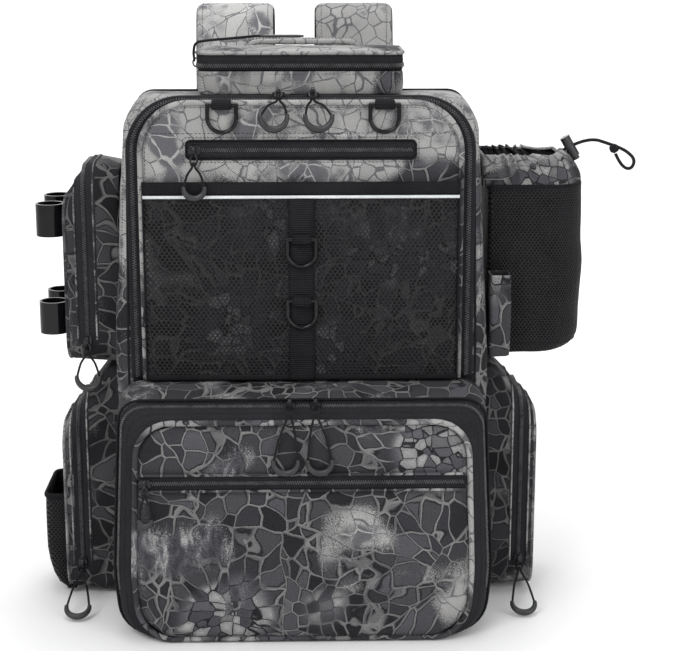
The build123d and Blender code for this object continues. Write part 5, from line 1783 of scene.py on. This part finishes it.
def solid_plate(name, outline, thickness, place, material, edge=0.5):
    """Plate with rounded edges: outline in mm in the x and y of the frame `place`, thickness along its z."""
    bm = bmesh.new()
    bottom = [bm.verts.new((x * MM, y * MM, 0)) for x, y in outline]
    face = bm.faces.new(bottom)
    made = bmesh.ops.extrude_face_region(bm, geom=[face])
    for item in made["geom"]:
        if isinstance(item, bmesh.types.BMVert):
            item.co.z = thickness * MM
    bmesh.ops.recalc_face_normals(bm, faces=bm.faces)
    edges = [e for e in bm.edges if abs(e.verts[0].co.z - e.verts[1].co.z) < 1e-7]
    bmesh.ops.bevel(bm, geom=edges, offset=edge * MM, segments=3, affect="EDGES", profile=0.6)
    bm.transform(place)
    mesh = bpy.data.meshes.new(name)
    bm.to_mesh(mesh)
    bm.free()
    mesh.polygons.foreach_set("use_smooth", [True] * len(mesh.polygons))
    mesh.materials.append(MAT[material])
    obj = bpy.data.objects.new(name, mesh)
    bpy.context.scene.collection.objects.link(obj)
    return obj


def make_slider(name):
    """Zip slider: a shaped plate with rounded edges, and a bridge that holds the pull's pin."""
    point, out, down, way = SLIDERS[name]
    out, down = Vector(out), Vector(down)
    across = down.cross(out)
    place = Matrix.Identity(4)
    for row in range(3):
        place[row][0], place[row][1], place[row][2] = across[row], -down[row], out[row]
        place[row][3] = point[row] * MM
    body, node = "slider_" + name, "slider_" + name
    shape = [(-5.4, -2.6), (-3.0, -4.0), (1.0, -4.0), (4.6, -3.1), (5.4, 0), (4.6, 3.1), (1.0, 4.0),
             (-3.0, 4.0), (-5.4, 2.6)]
    if way == "z":
        shape = [(-y, x) for x, y in shape]
    plate = solid_plate(body + "_plate", shape, 2.1, place @ Matrix.Translation((0, 0, 0.0004)), "metal", 0.7)
    settle(plate, body, node, slot="slider_metal")
    rise = []
    for k in range(13):
        angle = math.pi * k / 12
        rise.append(place @ Vector((0, (0.4 - 3.9 * math.cos(angle) - 0.6) * MM,
                                    (2.0 + 4.0 * math.sin(angle) ** 0.7) * MM)))
    bridge = sweep(body + "_bridge", rise, oval(2.9, 1.4, 12), "metal",
                   normals=[(place.to_3x3() @ Vector((0, 0, 1)))] * 13)
    settle(bridge, body, node, slot="slider_metal")


def make_pull(name):
    """Pull: metal link on the slider, cord legs and a moulded U grip."""
    pin, knee, bottom, width, aside, lean = PULLS[name]
    pin = Vector(pin)
    knee_point = Vector((pin.x, *knee))
    radius = width / 2 - 2.1
    centre = Vector((pin.x + aside, knee[0], bottom + width / 2))
    to_pin, from_pin = Matrix.Translation(pin * MM), Matrix.Translation(-pin * MM)
    turn = to_pin @ Matrix.Rotation(math.radians(-lean), 4, "X") @ from_pin
    node = "pull_" + name
    made = []

    along = (knee_point - pin).normalized()
    side = Vector((1, 0, 0))
    length = (knee_point - pin).length
    link = []
    for k in range(24):
        angle = 2 * math.pi * k / 24
        wide = 1.9 + 1.7 * (0.5 - 0.5 * math.cos(angle))
        link.append(pin + along * ((0.5 - 0.5 * math.cos(angle)) * (length + 1.6) - 1.0) + side
                    * (wide * math.sin(angle)))
    made.append(tube(node + "_link", [p * MM for p in link], 0.9, "metal", closed=True, count=8))

    for s in (-1, 1):
        tip = centre + side * (s * radius * 0.99) + Vector((0, 0, 1.5))
        leg = curve_through([knee_point + side * (s * 0.7) + Vector((0, 0, 1.5)),
                             knee_point + side * (s * 1.6) - Vector((0, 0, 3)),
                             (knee_point + tip) / 2 + side * (s * 1.4), tip - Vector((0, 0, 2.0))], 7)
        made.append(tube("%s_leg_%d" % (node, s + 1), leg, 1.0, "cord", count=8))
    made.append(tube(node + "_knot", curve_through([knee_point + side * -2.0, knee_point + KNOT_RISE,
                                                    knee_point + side * 2.0], 6), 1.5, "cord", count=8))
    bow = []
    scales = []
    steps = 30
    for k in range(steps + 1):
        share = k / steps
        angle = math.radians(172 + 196 * share)
        bow.append(centre + Vector((radius * math.cos(angle), 0, radius * math.sin(angle))))
        scales.append(0.62 + 0.38 * math.sin(math.pi * share))
    made.append(tube(node + "_grip", [p * MM for p in bow], 2.9, "rubber", scales=scales, count=14))
    for piece in made:
        piece.data.transform(turn)
        settle(piece, node, node, slot="pull_rubber")


def make_case_pull():
    """Pull of the top case's slider: a long cord with a flat tab."""
    pin = Vector((-94.8, 24, 491.6))
    body = node = "pull_top_case"
    route = curve_through([pin + Vector((0, 0, -1)), (-95.2, 24, 498), (-93.0, 24, 505), (-84, 24, 507.5),
                           (-60, 24, 509.6), (-40, 24, 511.4), (-30, 24, 511.6)], 8)
    settle(tube("pull_top_case_cord", route, 1.2, "cord"), body, node, slot="pull_rubber")
    loop = []
    for k in range(16):
        angle = 2 * math.pi * k / 16
        loop.append((pin + Vector((0, 1.9 * math.sin(angle), 1.9 * math.cos(angle)))) * MM)
    settle(tube("pull_top_case_link", loop, 0.85, "metal", closed=True, count=8), body, node,
           slot="slider_metal")
    tab = [Vector((-36 + 39 * k / 14, 24, 511.5)) * MM for k in range(15)]
    scales = [0.55, 0.8, 0.95] + [1.0] * 9 + [0.98, 0.85, 0.6]
    settle(sweep("pull_top_case_tab", tab, oval(7.2, 2.7, 16), "rubber", normals=UP, scales=scales), body,
           node, slot="pull_rubber")


# ================================================================ hard parts that keep the frame's own shape

KEPT = {
    "frame_sheet": "stiff",
    "base_board": "stiff",
    "ladder_locks": "plastic",
    "rod_rings": "gloss",
    "cord_lock_body": "plastic",
    "cord_lock_button": "plastic",
    "d_ring_top_left": "gloss",
    "d_ring_top_right": "gloss",
    "d_ring_column_upper": "gloss",
    "d_ring_column_lower": "gloss",
}


def dress_kept_nodes():
    """Materials of the CAD nodes that keep their own shape."""
    for node, key in KEPT.items():
        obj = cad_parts[node]
        if not obj.material_slots:
            obj.data.materials.append(MAT[key])
        for place in obj.material_slots:
            place.material = MAT[key]


# ================================================================ build

make_main_gusset()
make_back()
make_main_zip()
make_flap()
make_flap_zip()
make_mesh_pocket()
make_flap_webbing()
make_lower_gusset()
make_lower_flap()
make_panel_zip()
make_top_case()
make_carry_handle()
make_side_pockets()
make_butt_pouch()
make_bottle_pocket()
make_collar()
make_tool_sleeve()
make_straps()
for slider_name in SLIDERS:
    make_slider(slider_name)
for pull_name in PULLS:
    make_pull(pull_name)
make_case_pull()
dress_kept_nodes()


# ================================================================ stage and light

def make_stage():
    """White stage that the bag stands on."""
    maker = Maker("pale_floor")
    cloud = maker.noise(maker.coords, 3.0)
    colour = maker.ramp(cloud, [(0.3, (0.86, 0.86, 0.86)), (0.7, (0.89, 0.89, 0.89))])
    floor_material = maker.shader(colour, 0.9)
    profile = [(-5.0, 0.0), (3.0, 0.0)]
    radius = 1.5
    for k in range(1, 17):
        turn = math.pi / 2 * k / 16
        profile.append((3.0 + radius * math.sin(turn), radius * (1 - math.cos(turn))))
    profile.append((3.0 + radius, 5.0))
    vertices = [(x, y, z - 0.0025) for y, z in profile for x in (-7.0, 7.0)]
    faces = [(2 * k, 2 * k + 1, 2 * k + 3, 2 * k + 2) for k in range(len(profile) - 1)]
    mesh = bpy.data.meshes.new("floor")
    mesh.from_pydata(vertices, [], faces)
    mesh.materials.append(floor_material)
    mesh.polygons.foreach_set("use_smooth", [True] * len(mesh.polygons))
    floor = bpy.data.objects.new("floor", mesh)
    bpy.context.scene.collection.objects.link(floor)


def area_light(name, place, aim, size, power):
    """Area light at a place in metres, aimed at a point."""
    data = bpy.data.lights.new(name, "AREA")
    data.shape = "DISK"
    data.size = size
    data.energy = power
    light = bpy.data.objects.new(name, data)
    light.location = place
    direction = Vector(aim) - Vector(place)
    light.rotation_euler = direction.to_track_quat("-Z", "Y").to_euler()
    bpy.context.scene.collection.objects.link(light)


def make_lights():
    """Lights round the bag and the one on the backdrop."""
    world = bpy.data.worlds.new("studio")
    world.use_nodes = True
    background = world.node_tree.nodes["Background"]
    background.inputs["Color"].default_value = (1.0, 1.0, 1.0, 1.0)
    background.inputs["Strength"].default_value = 0.62
    bpy.context.scene.world = world
    middle = (0, 0, 0.25)
    area_light("key", (-0.9, -1.6, 1.7), middle, 1.1, 22.0)
    area_light("fill", (1.3, -1.5, 1.0), middle, 1.4, 12.0)
    area_light("top", (0.0, 0.2, 2.0), middle, 1.2, 15.0)
    area_light("rear", (0.3, 1.8, 1.3), middle, 1.4, 10.0)
    area_light("backdrop", (0.0, 1.9, 2.6), (0.0, 4.4, 1.1), 2.4, 75.0)


make_stage()
make_lights()
bpy.context.scene.view_settings.view_transform = "Standard"
